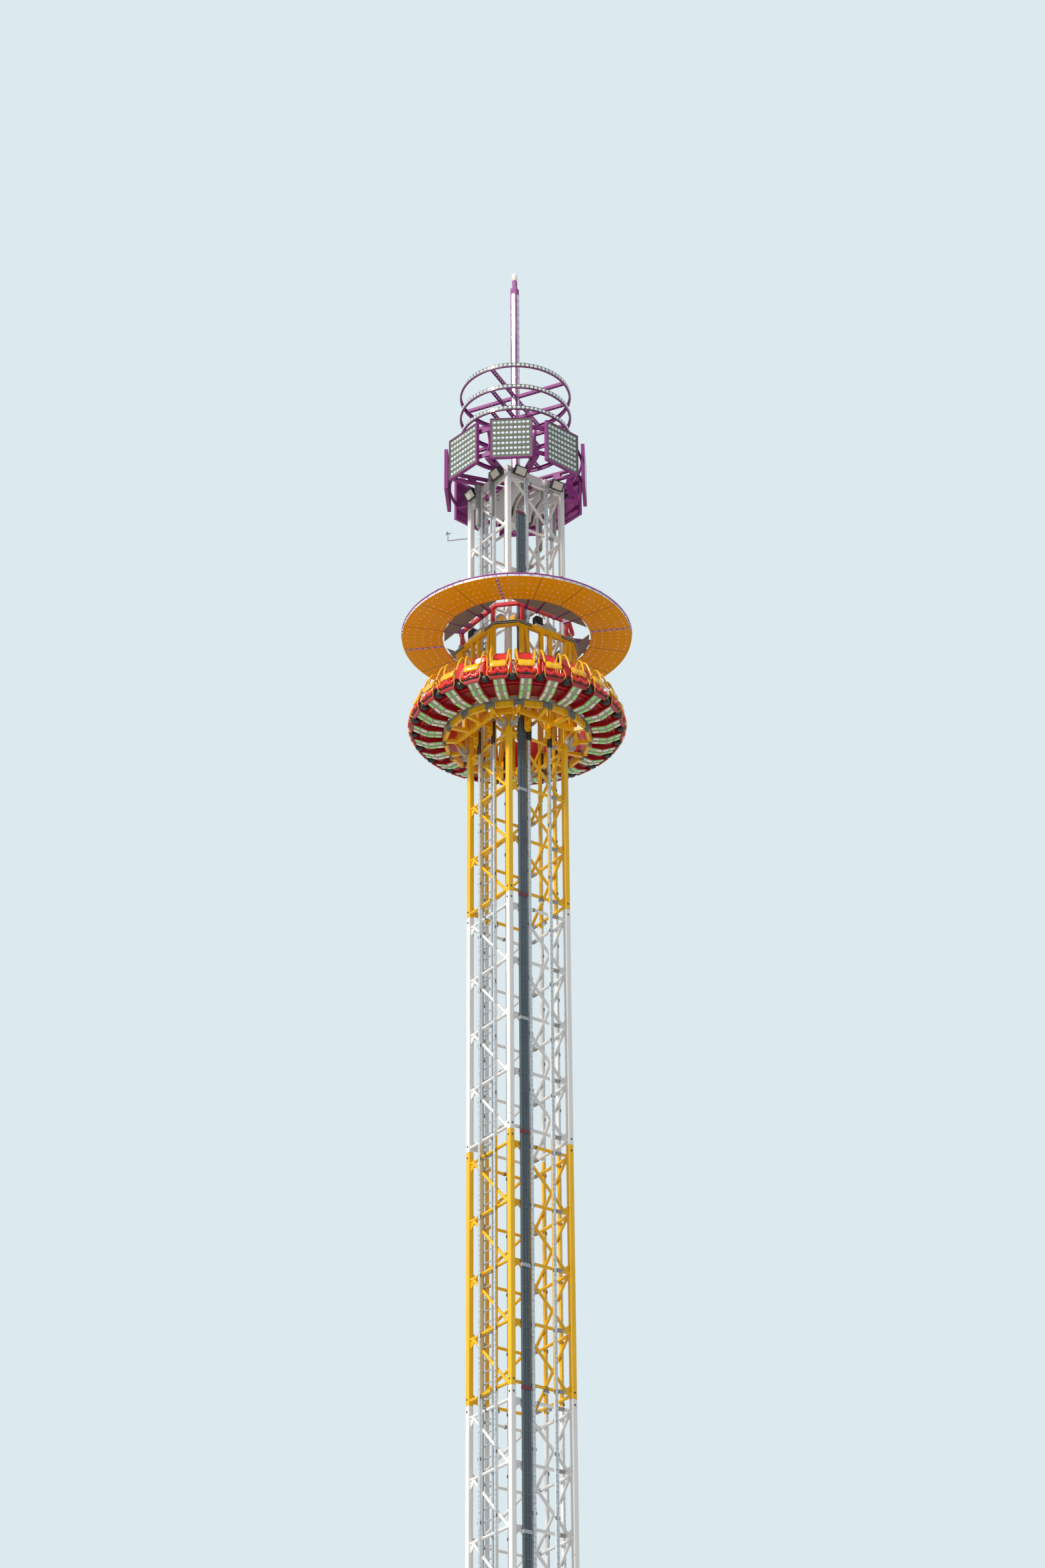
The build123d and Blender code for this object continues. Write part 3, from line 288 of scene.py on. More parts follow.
def prism(outline, low, high, axis="z"):
    """A straight solid on an outline: its corners and faces."""
    count = len(outline)
    points = np.array([(a, b, h) for h in (low, high) for a, b in outline], float)[:, axis_order[axis]]
    faces = [tuple(range(count)), tuple(range(2 * count - 1, count - 1, -1))]
    faces += [(i, (i + 1) % count, count + (i + 1) % count, count + i) for i in range(count)]
    return points, faces


def block(x, y, z):
    """A box between pairs of limits."""
    return prism([(x[0], y[0]), (x[1], y[0]), (x[1], y[1]), (x[0], y[1])], *z)


def turned(shape, angle, axis="Z"):
    """A shape turned about an axis through the origin."""
    points, faces = shape
    return points @ np.array(Matrix.Rotation(angle, 3, axis)).T, faces


def moved(shape, step):
    """A shape moved by a step."""
    return shape[0] + np.array(step), shape[1]


def around(shapes, count, start=0.0):
    """The same shapes repeated around the tower's axis."""
    return [turned(shape, start + 2 * pi * k / count) for k in range(count) for shape in shapes]


def solid(name, shapes, finish, smooth=False):
    """One object of closed shapes, all faces outwards."""
    mesh = bpy.data.meshes.new(name)
    points, faces, start = [], [], 0
    for corner, face in shapes:
        points.append(corner)
        faces += [tuple(i + start for i in f) for f in face]
        start += len(corner)
    mesh.from_pydata(np.concatenate(points).tolist(), [], faces)
    work = bmesh.new()
    work.from_mesh(mesh)
    bmesh.ops.recalc_face_normals(work, faces=work.faces)
    for face in work.faces:
        face.smooth = smooth
    work.to_mesh(mesh)
    work.free()
    if smooth:
        mesh.set_sharp_from_angle(angle=radians(38))
    mesh.materials.append(finish)
    piece = bpy.data.objects.new(name, mesh)
    scene.collection.objects.link(piece)
    return piece


def rounded_square(half, radius, steps=3):
    """Outline of a square tube with rounded corners."""
    return [
        (sx * (half - radius) + radius * cos(a), sy * (half - radius) + radius * sin(a))
        for sx, sy, first in ((1, 1, 0), (-1, 1, 90), (-1, -1, 180), (1, -1, 270))
        for a in (radians(first + 90 * k / steps) for k in range(steps + 1))
    ]


def gusset(z, way):
    """A corner plate over a chord's right end (1), or under its left end (-1)."""
    corner, y = way * gusset_corner, -column_spacing / 2
    outline = [(corner - way * gusset_reach, z + way * gusset_rise), (corner, z + way * gusset_rise),
               (corner, z + way * gusset_reach)]
    return prism(outline, y - gusset_half, y + gusset_half, "y")


tubes, sizes = maker("welded_tubes", Radius=0.02, Sides=14)
lines = node(tubes, "GeometryNodeMeshToCurve", {0: sizes["Geometry"]})
wall = node(tubes, "GeometryNodeCurvePrimitiveCircle",
            {"Radius": sizes["Radius"], "Resolution": sizes["Sides"]})
swept = node(tubes, "GeometryNodeCurveToMesh", {"Curve": lines, "Profile Curve": wall, "Fill Caps": True})
smooth = node(tubes, "GeometryNodeSetShadeSmooth", {0: swept})
close(tubes, smooth, sizes["Finish"])


def tube_set(name, lines, finish, radius, sides=14):
    """Round tubes along lines, straight from point to point."""
    seed = bpy.data.meshes.new(name)
    points, edges = [], []
    for line in lines:
        edges += [(len(points) + i, len(points) + i + 1) for i in range(len(line) - 1)]
        points += line
    seed.from_pydata(points, edges, [])
    return grown(name, seed, tubes, finish, Radius=radius, Sides=sides)


# Two-pack gloss over primer: a full yellow and a slightly warm white, with brown and grey dust in
# streaks down the uprights.
yellow_paint = painted_steel("yellow_tower_paint", "#FBC20D", "#A9781C")
white_paint = painted_steel("white_tower_paint", "#F0EFEC", "#AFABA2")
column_outline = rounded_square(column_width / 2, column_round)
lengths = [("white", base_low, base_top - base_low, base_bays)]
lengths += [("yellow" if k % 2 == 0 else "white", base_top + k * section_height, section_height, section_bays)
            for k in range(section_count)]
lattice = {"yellow": ([], [], []), "white": ([], [], [])}
joint_pins = []
for colour, low, height, bays in lengths:
    chords, braces, plates = lattice[colour]
    bay = (height - top_drop - bottom_rise) / bays
    side_shapes = [
        block((x - stringer_half, x + stringer_half), (-stringer_out, -stringer_in),
              (low + stringer_gap, low + height - stringer_gap))
        for x in rail_places
    ]
    y = -column_spacing / 2
    for k in range(bays + 1):
        z = low + bottom_rise + k * bay
        for way in quarter_turns:
            chords.append([way @ Vector((s * chord_half, y, z)) for s in (-1, 1)])
            if k < bays:
                braces.append([way @ Vector((-brace_run, y, z + bay)), way @ Vector((brace_run, y, z))])
        if k < bays:
            side_shapes.append(gusset(z, 1))
        if k > 0:
            side_shapes.append(gusset(z, -1))
    plates += around(side_shapes, 4)
    column = prism(column_outline, low + column_gap, low + height - column_gap)
    for sx, sy in corners:
        middle = Vector((sx * column_spacing / 2, sy * column_spacing / 2, 0))
        plates.append(moved(column, middle))
        for rise in (pin_rise, height - pin_rise):
            for face in (Vector((sx, 0, 0)), Vector((0, sy, 0))):
                joint_pins.append((middle + face * pin_out + Vector((0, 0, low + rise)), face))
for colour, paint, nodes in (
    ("yellow", yellow_paint, [f"section_{n}" for n in range(1, section_count + 1, 2)]),
    ("white", white_paint, ["base_section"] + [f"section_{n}" for n in range(2, section_count + 1, 2)]),
):
    chords, braces, plates = lattice[colour]
    fitted(solid(f"{colour}_columns", plates, paint), "tower", f"tower_{colour}", *nodes)
    fitted(tube_set(f"{colour}_chords", chords, paint, chord_radius), "tower", f"tower_{colour}")
    fitted(tube_set(f"{colour}_braces", braces, paint, brace_radius), "tower", f"tower_{colour}")
# Black oxide steel: dark, slightly oily.
pin_black = painted_steel("black_pin_heads", "#2A2927", "#6B5F50", rough=(0.4, 0.6))
fitted(stud_set("joint_pins", joint_pins, pin_black, *pin_size), "tower", "flood_black")

# Chord fittings: pale sleeve clamps on the chords of three sides beside a rail, bound with black
# bands, bands alone near the middle of the top chords, and a small lamp strapped under the lowest
# chord of each yellow length.
sleeve_radius, sleeve_x, sleeve_sides = 0.0220, (0.200, 0.280), (0, 1, 2)
band_radius, band_half = 0.0232, 0.0024
sleeve_bands, top_bands, strap_bands = (0.210, 0.234, 0.258), (-0.076, -0.062), (0.033, 0.057)
hung_x, hung_top, hung_lens, hung_foot = 0.045, -0.020, -0.052, -0.058
hung_halves, hung_deep, glass_halves, glass_deep = (0.024, 0.034), 0.016, (0.031, 0.026), 0.013


def along_chords(z, x, sides=(0, 1, 2, 3)):
    """A short line on the chord of each side at a height, between two places along it."""
    return [[quarter_turns[k] @ Vector((at, -column_spacing / 2, z)) for at in x] for k in sides]


def tapered(middle, halves, top, foot):
    """Outline of a box that is wider or narrower at its foot."""
    return [(middle - halves[0], top), (middle + halves[0], top), (middle + halves[1], foot),
            (middle - halves[1], foot)]


sleeves, bands, housings, lenses = [], [], [], []
for colour, low, height, bays in lengths:
    foot, head = low + bottom_rise, low + height - top_drop
    for z in np.linspace(foot, head, bays + 1):
        sleeves += along_chords(z, sleeve_x, sleeve_sides)
        for x in sleeve_bands:
            bands += along_chords(z, (x - band_half, x + band_half), sleeve_sides)
    for z, places in ((head, top_bands), (foot, strap_bands if colour == "yellow" else ())):
        for x in places:
            bands += along_chords(z, (x - band_half, x + band_half))
    if colour == "yellow":
        y = -column_spacing / 2
        body = tapered(hung_x, hung_halves, foot + hung_top, foot + hung_lens)
        glass = tapered(hung_x, glass_halves, foot + hung_lens + sunk, foot + hung_foot)
        housings += around([prism(body, y - hung_deep, y + hung_deep, "y")], 4)
        lenses += around([prism(glass, y - glass_deep, y + glass_deep, "y")], 4)
# Dull grey paint on clamps and lamp housings, and pale frosted plastic under the lamps.
clamp_paint = painted_steel("dull_clamp_paint", "#BDBBB5", "#6C6860", rough=(0.45, 0.65))
fitted(tube_set("chord_sleeves", sleeves, clamp_paint, sleeve_radius, 12), "tower", "tower_white")
fitted(tube_set("chord_bands", bands, pin_black, band_radius, 12), "tower", "flood_black")
lamp_grey = painted_steel("grey_lamp_housing", "#8B8E8E", "#4D4C49", rough=(0.45, 0.65))
fitted(solid("chord_lamps", housings, lamp_grey), "tower", "flood_black")
frosted_lens = painted_steel("frosted_lamp_lens", "#DDE0DF", "#9A9C9B")
fitted(solid("chord_lamp_lenses", lenses, frosted_lens), "tower", "lamp_white")

# Guide rails: galvanised strips clipped to the stringers, punched along their whole length. The
# strips stay as they were built.
rail_out, rail_low, rail_high = 0.456, 0.26, 25.12
clip_first, clip_pitch, clip_half, clip_reach, clip_gap = 0.2, 0.70125, 0.018, (0.0185, 0.0275), 0.0005
spangle_mm, smudge_mm, hole_pitch_mm, hole_share = 22, 40, 60, 0.16
# Hot-dip galvanising: pale blue-grey zinc with a spangle of crystals, drawn coarse, and a row of
# punched slots, here as weak dark marks.
galvanised, tree, coat, place = bare_finish("galvanised_punched_steel")
spangle = node(tree, "ShaderNodeTexVoronoi", {"Vector": place, "Scale": 1000 / spangle_mm})
zinc = node(tree, "ShaderNodeMix", {0: spangle.outputs["Color"], 6: linear("#B6C0C6"), 7: linear("#DCE2E5")},
            data_type="RGBA")
level = node(tree, "ShaderNodeSeparateXYZ", {0: place}).outputs["Z"]
along = node(tree, "ShaderNodeMath", {0: level, 1: 1000 / hole_pitch_mm}, operation="MULTIPLY")
part_way = node(tree, "ShaderNodeMath", {0: along}, operation="FRACT")
hole = node(tree, "ShaderNodeMath", {0: part_way, 1: hole_share}, operation="LESS_THAN")
smudge = node(tree, "ShaderNodeTexNoise", {"Vector": place, "Scale": 1000 / smudge_mm})
weak = node(tree, "ShaderNodeMapRange", {"Value": smudge.outputs["Fac"], "From Min": 0.4, "From Max": 0.6,
                                         "To Min": 0.10, "To Max": 0.60})
marks = node(tree, "ShaderNodeMath", {0: hole, 1: weak}, operation="MULTIPLY")
punched = node(tree, "ShaderNodeMix", {0: marks, 6: zinc.outputs[2], 7: linear("#6E7A82")}, data_type="RGBA")
tree.links.new(punched.outputs[2], coat.inputs["Base Color"])
coat.inputs["Metallic"].default_value = 0.35
rough = node(tree, "ShaderNodeMapRange",
             {"Value": spangle.outputs["Distance"], "To Min": 0.38, "To Max": 0.62})
tree.links.new(rough.outputs[0], coat.inputs["Roughness"])
finished("guide_rails", galvanised)
clips = []
for k in range(int((rail_high - rail_low) / clip_pitch)):
    z = rail_low + clip_first + k * clip_pitch
    clips += [
        block([x + side * reach for reach in clip_reach], (-rail_out, -stringer_out - clip_gap),
              (z - clip_half, z + clip_half))
        for x in rail_places for side in (-1, 1)
    ]
fitted(solid("rail_clips", around(clips, 4), bolt_zinc), "tower", "galvanised")

# Cable duct: a folded sheet-steel trunk up one side with two stiffening folds, cross straps at
# every lid, a pale strap in the middle of a length and a maroon one at each joint.
duct_left, duct_right, duct_front, duct_back = -0.2955, -0.1865, -0.4557, -0.4238
duct_low, duct_high, duct_bend = 0.26, 25.12, 0.004
fold_line = [(0.030, 0.0), (0.034, 0.006), (0.040, 0.006), (0.044, 0.0)]
lid_first, lid_pitch, lid_count, lid_height, lid_proud = 0.15, 0.2337, 106, 0.005, 0.0012
pale_share, pale_count, pale_height, strap_proud = 0.46, 7, 0.042, 0.002
joint_drop, joint_height, end_height = 0.03, 0.046, 0.036
# Slate paint on sheet steel, dark where rain has run, with paler and maroon paint on the straps.
duct_paint = painted_steel("slate_duct_paint", "#46545D", "#23292D", streak_mm=45, dust_share=0.9,
                           rough=(0.4, 0.6))
lid_paint = painted_steel("pale_lid_edges", "#6D7A82", "#3B464D")
pale_paint = painted_steel("pale_strap_paint", "#A7B0B5", "#6A7378")
maroon_paint = painted_steel("maroon_strap_paint", "#6A1B2A", "#2E0D13")
half_outline = [(0.0, duct_back), (0.0, duct_front + duct_bend), (duct_bend, duct_front)]
half_outline += [(in_from, duct_front + deep) for in_from, deep in fold_line]
duct_outline = [(duct_left + in_from, y) for in_from, y in half_outline]
duct_outline += [(duct_right - in_from, y) for in_from, y in reversed(half_outline)]
trunk = solid("cable_trunk", [prism(duct_outline, duct_low, duct_high)], duct_paint)
fitted(trunk, "tower", "duct_grey", "cable_duct")


def strap(z, height, proud=strap_proud):
    """A band across the duct's face and round its edges."""
    return block((duct_left - proud, duct_right + proud), (duct_front - proud, duct_back), (z, z + height))


lids = [strap(duct_low + lid_first + k * lid_pitch, lid_height, lid_proud) for k in range(lid_count)]
fitted(solid("duct_lid_edges", lids, lid_paint), "tower", "duct_grey")
pale = [strap(base_top + (k + pale_share) * section_height, pale_height) for k in range(pale_count)]
fitted(solid("duct_pale_straps", pale, pale_paint), "tower", "duct_grey")
maroon = [strap(base_top + k * section_height - joint_drop, joint_height) for k in range(section_count)]
maroon.append(strap(duct_high - end_height, end_height))
fitted(solid("duct_joint_straps", maroon, maroon_paint), "tower", "duct_grey")

# Ladder: two galvanised stiles with round rungs welded between them, inside the left side. The
# rungs stand 140 mm apart, half the pitch of a full-size ladder.
rung_low, rung_high, rung_pitch, rung_radius, rung_x, rung_y = 0.36, 25.6, 0.140, 0.0085, -0.377, (0.0, 0.194)
# Old galvanising: an even dull grey.
ladder_zinc = painted_steel("dull_galvanised_ladder", "#B4BDC3", "#6B747A", rough=(0.4, 0.6))
finished("ladder", ladder_zinc)
rows, sizes = maker("row", Count=10, Step=(0.0, 0.0, 0.14))
spots = node(rows, "GeometryNodeMeshLine", {"Count": sizes["Count"], "Offset": sizes["Step"]}, mode="OFFSET")
repeat = node(rows, "GeometryNodeInstanceOnPoints", {"Points": spots, "Instance": sizes["Geometry"]})
close(rows, repeat, sizes["Finish"])
rung = tube_set("rung", [[(rung_x, y, rung_low) for y in rung_y]], ladder_zinc, rung_radius, 10)
rungs = grown("ladder_rungs", rung.data, rows, ladder_zinc, Count=int((rung_high - rung_low) / rung_pitch),
              Step=(0.0, 0.0, rung_pitch))
bpy.data.objects.remove(rung)
fitted(rungs, "tower", "tower_white")

# Head: white beams between the column tops, arched plates that carry the grooved hoist sheaves,
# grey buffers over the rails of two sides, and bolts along the plates.
sheave_z, sheave_radius, sheave_half, groove_deep = 25.370, 0.129, 0.022, 0.014
buffer_out, buffer_low = 0.476, 25.120
bracket_half, bracket_y, bracket_z = 0.030, (-0.506, -0.4443), (25.660, 25.758)
plate_face, plate_bolt_y, plate_bolt_z = 0.0358, (-0.32, -0.12, 0.12, 0.32), (25.70, 25.64)
beam_front, beam_bolt_x, beam_bolt_z = 0.4350, (-0.345, -0.315, 0.315, 0.345), (25.69, 25.73)
head_bolt_size = (0.0095, 0.0085, 0.007, 6)


def lathe(profile, sides, axis="z"):
    """A profile of (radius, height) turned about an axis: a closed loop, or a line from pole to pole."""
    poles = profile[0][0] == 0
    line = profile[1:-1] if poles else profile
    count = len(line)
    angles = [2 * pi * k / sides for k in range(sides)]
    points = [(r * cos(a), r * sin(a), h) for a in angles for r, h in line]
    faces = []
    for k in range(sides):
        here, there = k * count, (k + 1) % sides * count
        faces += [(here + i, there + i, there + (i + 1) % count, here + (i + 1) % count)
                  for i in range(count - poles)]
        if poles:
            faces += [(sides * count, there, here), (sides * count + 1, here + count - 1, there + count - 1)]
    if poles:
        points += [(0, 0, profile[0][1]), (0, 0, profile[-1][1])]
    return np.array(points, float)[:, axis_order[axis]], faces


def both_ways(line, *middle):
    """A profile that is the same above and below its middle, from its lower half."""
    return [*line, *middle, *((r, -h) for r, h in reversed(line))]


for name in ("head_beams", "sheave_plates"):
    finished(name, white_paint)
# Cast iron: dark grey, slightly rough from the sand, with small rubbed spots.
cast_iron = painted_steel("cast_iron", "#6B6C6B", "#3A352F", rough=(0.4, 0.7), chip="#8C8C8A")
groove = sheave_radius - groove_deep
lower_half = [(0.018, -0.0255), (0.030, -0.0255), (0.030, -0.014), (0.082, -0.012), (0.088, -sheave_half),
              (sheave_radius, -sheave_half), (sheave_radius, -0.016), (groove + 0.003, -0.009)]
sheave_line = both_ways(lower_half, (groove, 0))
axle_line = both_ways([(0, -0.0257), (0.0178, -0.0257)])
sheaves = [moved(lathe(line, sides, "x"), (x, 0, sheave_z))
           for line, sides in ((sheave_line, 40), (axle_line, 16)) for x in rail_places]
fitted(solid("hoist_sheaves", sheaves, cast_iron, True), "tower", "sheave_grey", "sheaves")
# Grey enamel on the buffers: a soft gloss, brown where dust has settled.
buffer_paint = painted_steel("grey_buffer_paint", "#9A9C9A", "#6B665D", rough=(0.35, 0.55))
buffer_line = [(0, 0.0), (0.016, 0.0), (0.016, 0.028), (0.027, 0.030), (0.030, 0.036), (0.030, 0.500),
               (0.027, 0.505), (0.027, 0.530), (0, 0.530)]
buffer_pair = [moved(lathe(buffer_line, 24), (x, -buffer_out, buffer_low)) for x in rail_places]
buffer_pair += [block((x - bracket_half, x + bracket_half), bracket_y, bracket_z) for x in rail_places]
buffers = solid("buffer_cylinders", around(buffer_pair, 2, pi / 2), buffer_paint, True)
fitted(buffers, "tower", "sheave_grey", "buffers")
plate_bolts = [((x + s * plate_face, y, z), (s, 0, 0))
               for x in rail_places for s in (-1, 1) for y in plate_bolt_y for z in plate_bolt_z]
beam_bolts = [(way @ Vector((x, -beam_front, z)), way @ Vector((0, -1, 0)))
              for way in quarter_turns for x in beam_bolt_x for z in beam_bolt_z]
fitted(stud_set("head_bolts", plate_bolts + beam_bolts, pin_black, *head_bolt_size), "tower", "flood_black")

# Floodlights: flat lamps in black cast frames with a pale glass front and cooling fins behind,
# tilted down on a bracket, two on each head beam.
flood_place, flood_z, flood_tilt, beam_face = 0.280, 25.685, radians(35), 0.4238
flood_half, flood_deep, flood_tall = 0.086, 0.022, 0.060
flood_edge, flood_bed, flood_gap = 0.012, -0.010, 0.0002
flood_stand = flood_tall * sin(flood_tilt) + 2 * flood_deep
fin_first, fin_pitch, fin_count, fin_thick, fin_deep, fin_half = -0.07, 0.02, 8, 0.006, 0.008, 0.05
arm_half, arm_tall, arm_bite = 0.0215, 0.011, 0.012
pane_half, pane_y, pane_tall = 0.0735, (-0.016, -0.0104), 0.0475
bars_y, bars_half = (-flood_deep, flood_bed - flood_gap), flood_half - flood_edge - flood_gap
flood_frame = [block((-flood_half, flood_half), (flood_bed, flood_deep), (-flood_tall, flood_tall))]
flood_frame += [block(x, bars_y, (-flood_tall, flood_tall))
                for x in ((-flood_half, flood_edge - flood_half), (flood_half - flood_edge, flood_half))]
flood_frame += [block((-bars_half, bars_half), bars_y, z)
                for z in ((-flood_tall, flood_edge - flood_tall), (flood_tall - flood_edge, flood_tall))]
flood_frame += [block((x, x + fin_thick), (flood_deep, flood_deep + fin_deep), (-fin_half, fin_half))
                for x in (fin_first + fin_pitch * k for k in range(fin_count))]
pane = block((-pane_half, pane_half), pane_y, (-pane_tall, pane_tall))
floods, panes = [], []
for x in (-flood_place, flood_place):
    here = (x, -beam_face - flood_stand, flood_z)
    floods += [moved(turned(shape, flood_tilt, "X"), here) for shape in flood_frame]
    floods.append(block((x - arm_half, x + arm_half), (arm_bite - beam_face - flood_stand, -beam_face),
                        (flood_z - arm_tall, flood_z + arm_tall)))
    panes.append(moved(turned(pane, flood_tilt, "X"), here))
# Black powder coat on aluminium castings: matt, greyed by dust.
flood_black = painted_steel("black_lamp_castings", "#191919", "#4A4742", rough=(0.4, 0.6))
fitted(solid("floodlights_frames", around(floods, 4), flood_black), "tower", "flood_black", "floodlights")


def lens(name, colours, rough=0.2, glow=0.0, cell_mm=12):
    """Clear or tinted plastic over small lamps: glossy, each one a little different, with a fine
    cell pattern pressed into its back."""
    finish, tree, coat, place = bare_finish(name)
    each = node(tree, "ShaderNodeNewGeometry").outputs["Random Per Island"]
    cells = node(tree, "ShaderNodeTexVoronoi", {"Vector": place, "Scale": 1000 / cell_mm})
    which = node(tree, "ShaderNodeMapRange", {"Value": each, "From Min": 0.4, "From Max": 0.7})
    mixed = node(tree, "ShaderNodeMix", {0: which, 6: linear(colours[0]), 7: linear(colours[1])},
                 data_type="RGBA")
    shade = node(tree, "ShaderNodeMapRange",
                 {"Value": cells.outputs["Distance"], "To Min": 0.0, "To Max": 0.25})
    deep = node(tree, "ShaderNodeMix", {0: shade, 6: mixed.outputs[2], 7: linear(colours[2])},
                data_type="RGBA")
    tree.links.new(deep.outputs[2], coat.inputs["Base Color"])
    if glow:
        tree.links.new(deep.outputs[2], coat.inputs["Emission Color"])
        coat.inputs["Emission Strength"].default_value = glow
    coat.inputs["Roughness"].default_value = rough
    coat.inputs["Coat Weight"].default_value = 0.6
    return finish


# Frosted glass: creamy, with a soft shine.
flood_glass = lens("frosted_lamp_glass", ("#D9D4C4", "#E6E2D4", "#A49F90"), 0.3)
fitted(solid("floodlight_panes", around(panes, 4), flood_glass), "tower", "lamp_white")

# Wind sensor: a galvanised tube out from one column with an upright at its end, and on that a
# small wheel of three black plastic cups.
wind_z, wind_column, wind_reach, wind_up, wind_radius = 25.133, 0.4385, 0.252, 0.095, 0.009
cup_rise, cup_place = 0.094, (0, 0.026, 0.012)
arm_start = Vector((-wind_column, wind_column, wind_z))
arm_end = arm_start + wind_reach * Vector((-1, 1, 0)).normalized()
wind_lines = [[arm_start, arm_end], [arm_end, arm_end + Vector((0, 0, wind_up))]]
wind_arm = tube_set("wind_arm", wind_lines, ladder_zinc, wind_radius, 12)
fitted(wind_arm, "tower", "galvanised", "wind_sensor")
cup = lathe([(0, -0.010), (0.006, -0.008), (0.010, 0.0), (0.008, 0.0), (0, -0.006)], 12, "x")
cup_arm = block((-0.0015, 0.0015), (0.006, 0.022), (0.0105, 0.0135))
cup_wheel = [lathe([(0, 0.0), (0.007, 0.0), (0.007, 0.024), (0, 0.024)], 12)]
cup_wheel += around([moved(cup, cup_place), cup_arm], 3)
cups = [moved(shape, arm_end + Vector((0, 0, cup_rise))) for shape in cup_wheel]
fitted(solid("wind_cups", cups, flood_black), "tower", "flood_black")

# Crown beams: deep purple beams with cut windows, laid out from a hub over the head, carrying
# two rolled hoops and curved brackets for the light boards.
hoop_in, hoop_out, hoop_height, round_sides = 0.822, 0.8375, 0.060, 96


def flat_ring(inner, outer, low, high):
    """The profile of a flat ring."""
    return [(inner, low), (outer, low), (outer, high), (inner, high)]


# Purple paint gone flat in the sun: even, with hardly any gloss.
crown_paint = painted_steel("purple_crown_paint", "#97408A", "#4A1C42", rough=(0.45, 0.62), lacquer=0,
                            shine=0.3)
for name in ("crown_beams", "sign_brackets"):
    finished(name, crown_paint)
hoop_low, hoop_high = (limit.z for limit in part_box("sign_hoops"))
hoop_line = flat_ring(hoop_in, hoop_out, 0.0, hoop_height)
hoops = [moved(lathe(hoop_line, round_sides), (0, 0, z)) for z in (hoop_low, hoop_high - hoop_height)]
fitted(solid("rolled_hoops", hoops, crown_paint, True), "tower", "crown_purple", "sign_hoops")

# Light boards: eight shallow sheet-metal trays hung outside the hoops, purple at the back and the
# edges, with a dull olive face that is set with an even grid of round white lamp caps.
board_count, board_turn = 8, radians(6.5)
board_low, board_high = (limit.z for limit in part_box("sign_boards"))
board_in, board_out, board_half, board_edge, board_back = 0.8385, 0.8843, 0.265, 0.010, 0.005
board_face, face_thick = 0.8763, 0.004
lamp_columns, lamp_rows, lamp_across, lamp_upward = 9, 7, 0.052, 0.078
cap_size = (0.0215, 0.0150, 0.008, 10)
# Dull olive enamel, and milky caps that are slightly blue: glossy, with a weak light in them.
olive_paint = painted_steel("olive_lamp_board", "#6B6E5E", "#3E4036")
lamp_caps = lens("white_lamp_caps", ("#EEF3F5", "#DCE8F0", "#A9BCCB"), 0.2, 0.08)


def spun(places, count, start=0.0):
    """Stud places repeated around the tower's axis."""
    turns = [Matrix.Rotation(start + 2 * pi * k / count, 3, "Z") for k in range(count)]
    return [(turn @ Vector(point), turn @ Vector(way)) for turn in turns for point, way in places]


face_half, face_low, face_high = board_half - board_edge, board_low + board_edge, board_high - board_edge
tray = [block((board_in, board_in + board_back), (-board_half, board_half), (board_low, board_high))]
tray += [block((board_in, board_out), y, (board_low, board_high))
         for y in ((-board_half, -face_half), (face_half, board_half))]
tray += [block((board_in, board_out), (-face_half, face_half), z)
         for z in ((board_low, face_low), (face_high, board_high))]
trays = solid("board_trays", around(tray, board_count, board_turn), crown_paint)
fitted(trays, "tower", "crown_purple", "sign_boards")
board_plate = block((board_face - face_thick, board_face), (-face_half, face_half), (face_low, face_high))
plates = solid("board_faces", around([board_plate], board_count, board_turn), olive_paint)
fitted(plates, "tower", "sign_face")
board_middle = (board_low + board_high) / 2
lamp_grid = [
    ((board_face - sunk, lamp_across * (i - (lamp_columns - 1) / 2),
      board_middle + lamp_upward * (j - (lamp_rows - 1) / 2)), (1, 0, 0))
    for i in range(lamp_columns) for j in range(lamp_rows)
]
board_lamps = stud_set("board_lamps", spun(lamp_grid, board_count, board_turn), lamp_caps, *cap_size)
fitted(board_lamps, "tower", "lamp_white")

# Light rings: three rolled channels round the mast, olive outside with a close row of lamp caps,
# each on four punched spokes.
ring_low, ring_high = (limit.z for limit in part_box("light_rings"))
ring_tiers, ring_height, ring_in, ring_out, ring_web, ring_lamp_count = 3, 0.059, 0.685, 0.707, 0.004, 80
ring_face_bite, ring_face_proud = 0.001, 0.0015
spoke_turn, spoke_half, spoke_wall, spoke_start, spoke_bite = radians(29), 0.020, 0.005, 0.047, 0.002
window_pitch, bridge_width = 0.053, 0.015
tiers = [ring_low + k * (ring_high - ring_height - ring_low) / (ring_tiers - 1) for k in range(ring_tiers)]
channel = [(ring_in, 0), (ring_out, 0), (ring_out, ring_height), (ring_in, ring_height),
           (ring_in, ring_height - ring_web), (ring_out - ring_web, ring_height - ring_web),
           (ring_out - ring_web, ring_web), (ring_in, ring_web)]
channels = [moved(lathe(channel, round_sides), (0, 0, z)) for z in tiers]
fitted(solid("ring_channels", channels, crown_paint, True), "tower", "crown_purple", "light_rings")
band_out = ring_out + ring_face_proud
band = flat_ring(ring_out - ring_face_bite, band_out, ring_web, ring_height - ring_web)
ring_bands = [moved(lathe(band, round_sides), (0, 0, z)) for z in tiers]
fitted(solid("ring_faces", ring_bands, olive_paint, True), "tower", "sign_face")
lamp_row = [((band_out - sunk, 0, z + ring_height / 2), (1, 0, 0)) for z in tiers]
ring_lamps = stud_set("ring_lamps", spun(lamp_row, ring_lamp_count), lamp_caps, *cap_size)
fitted(ring_lamps, "tower", "lamp_white")
spoke = []
inner_half = spoke_half - spoke_wall
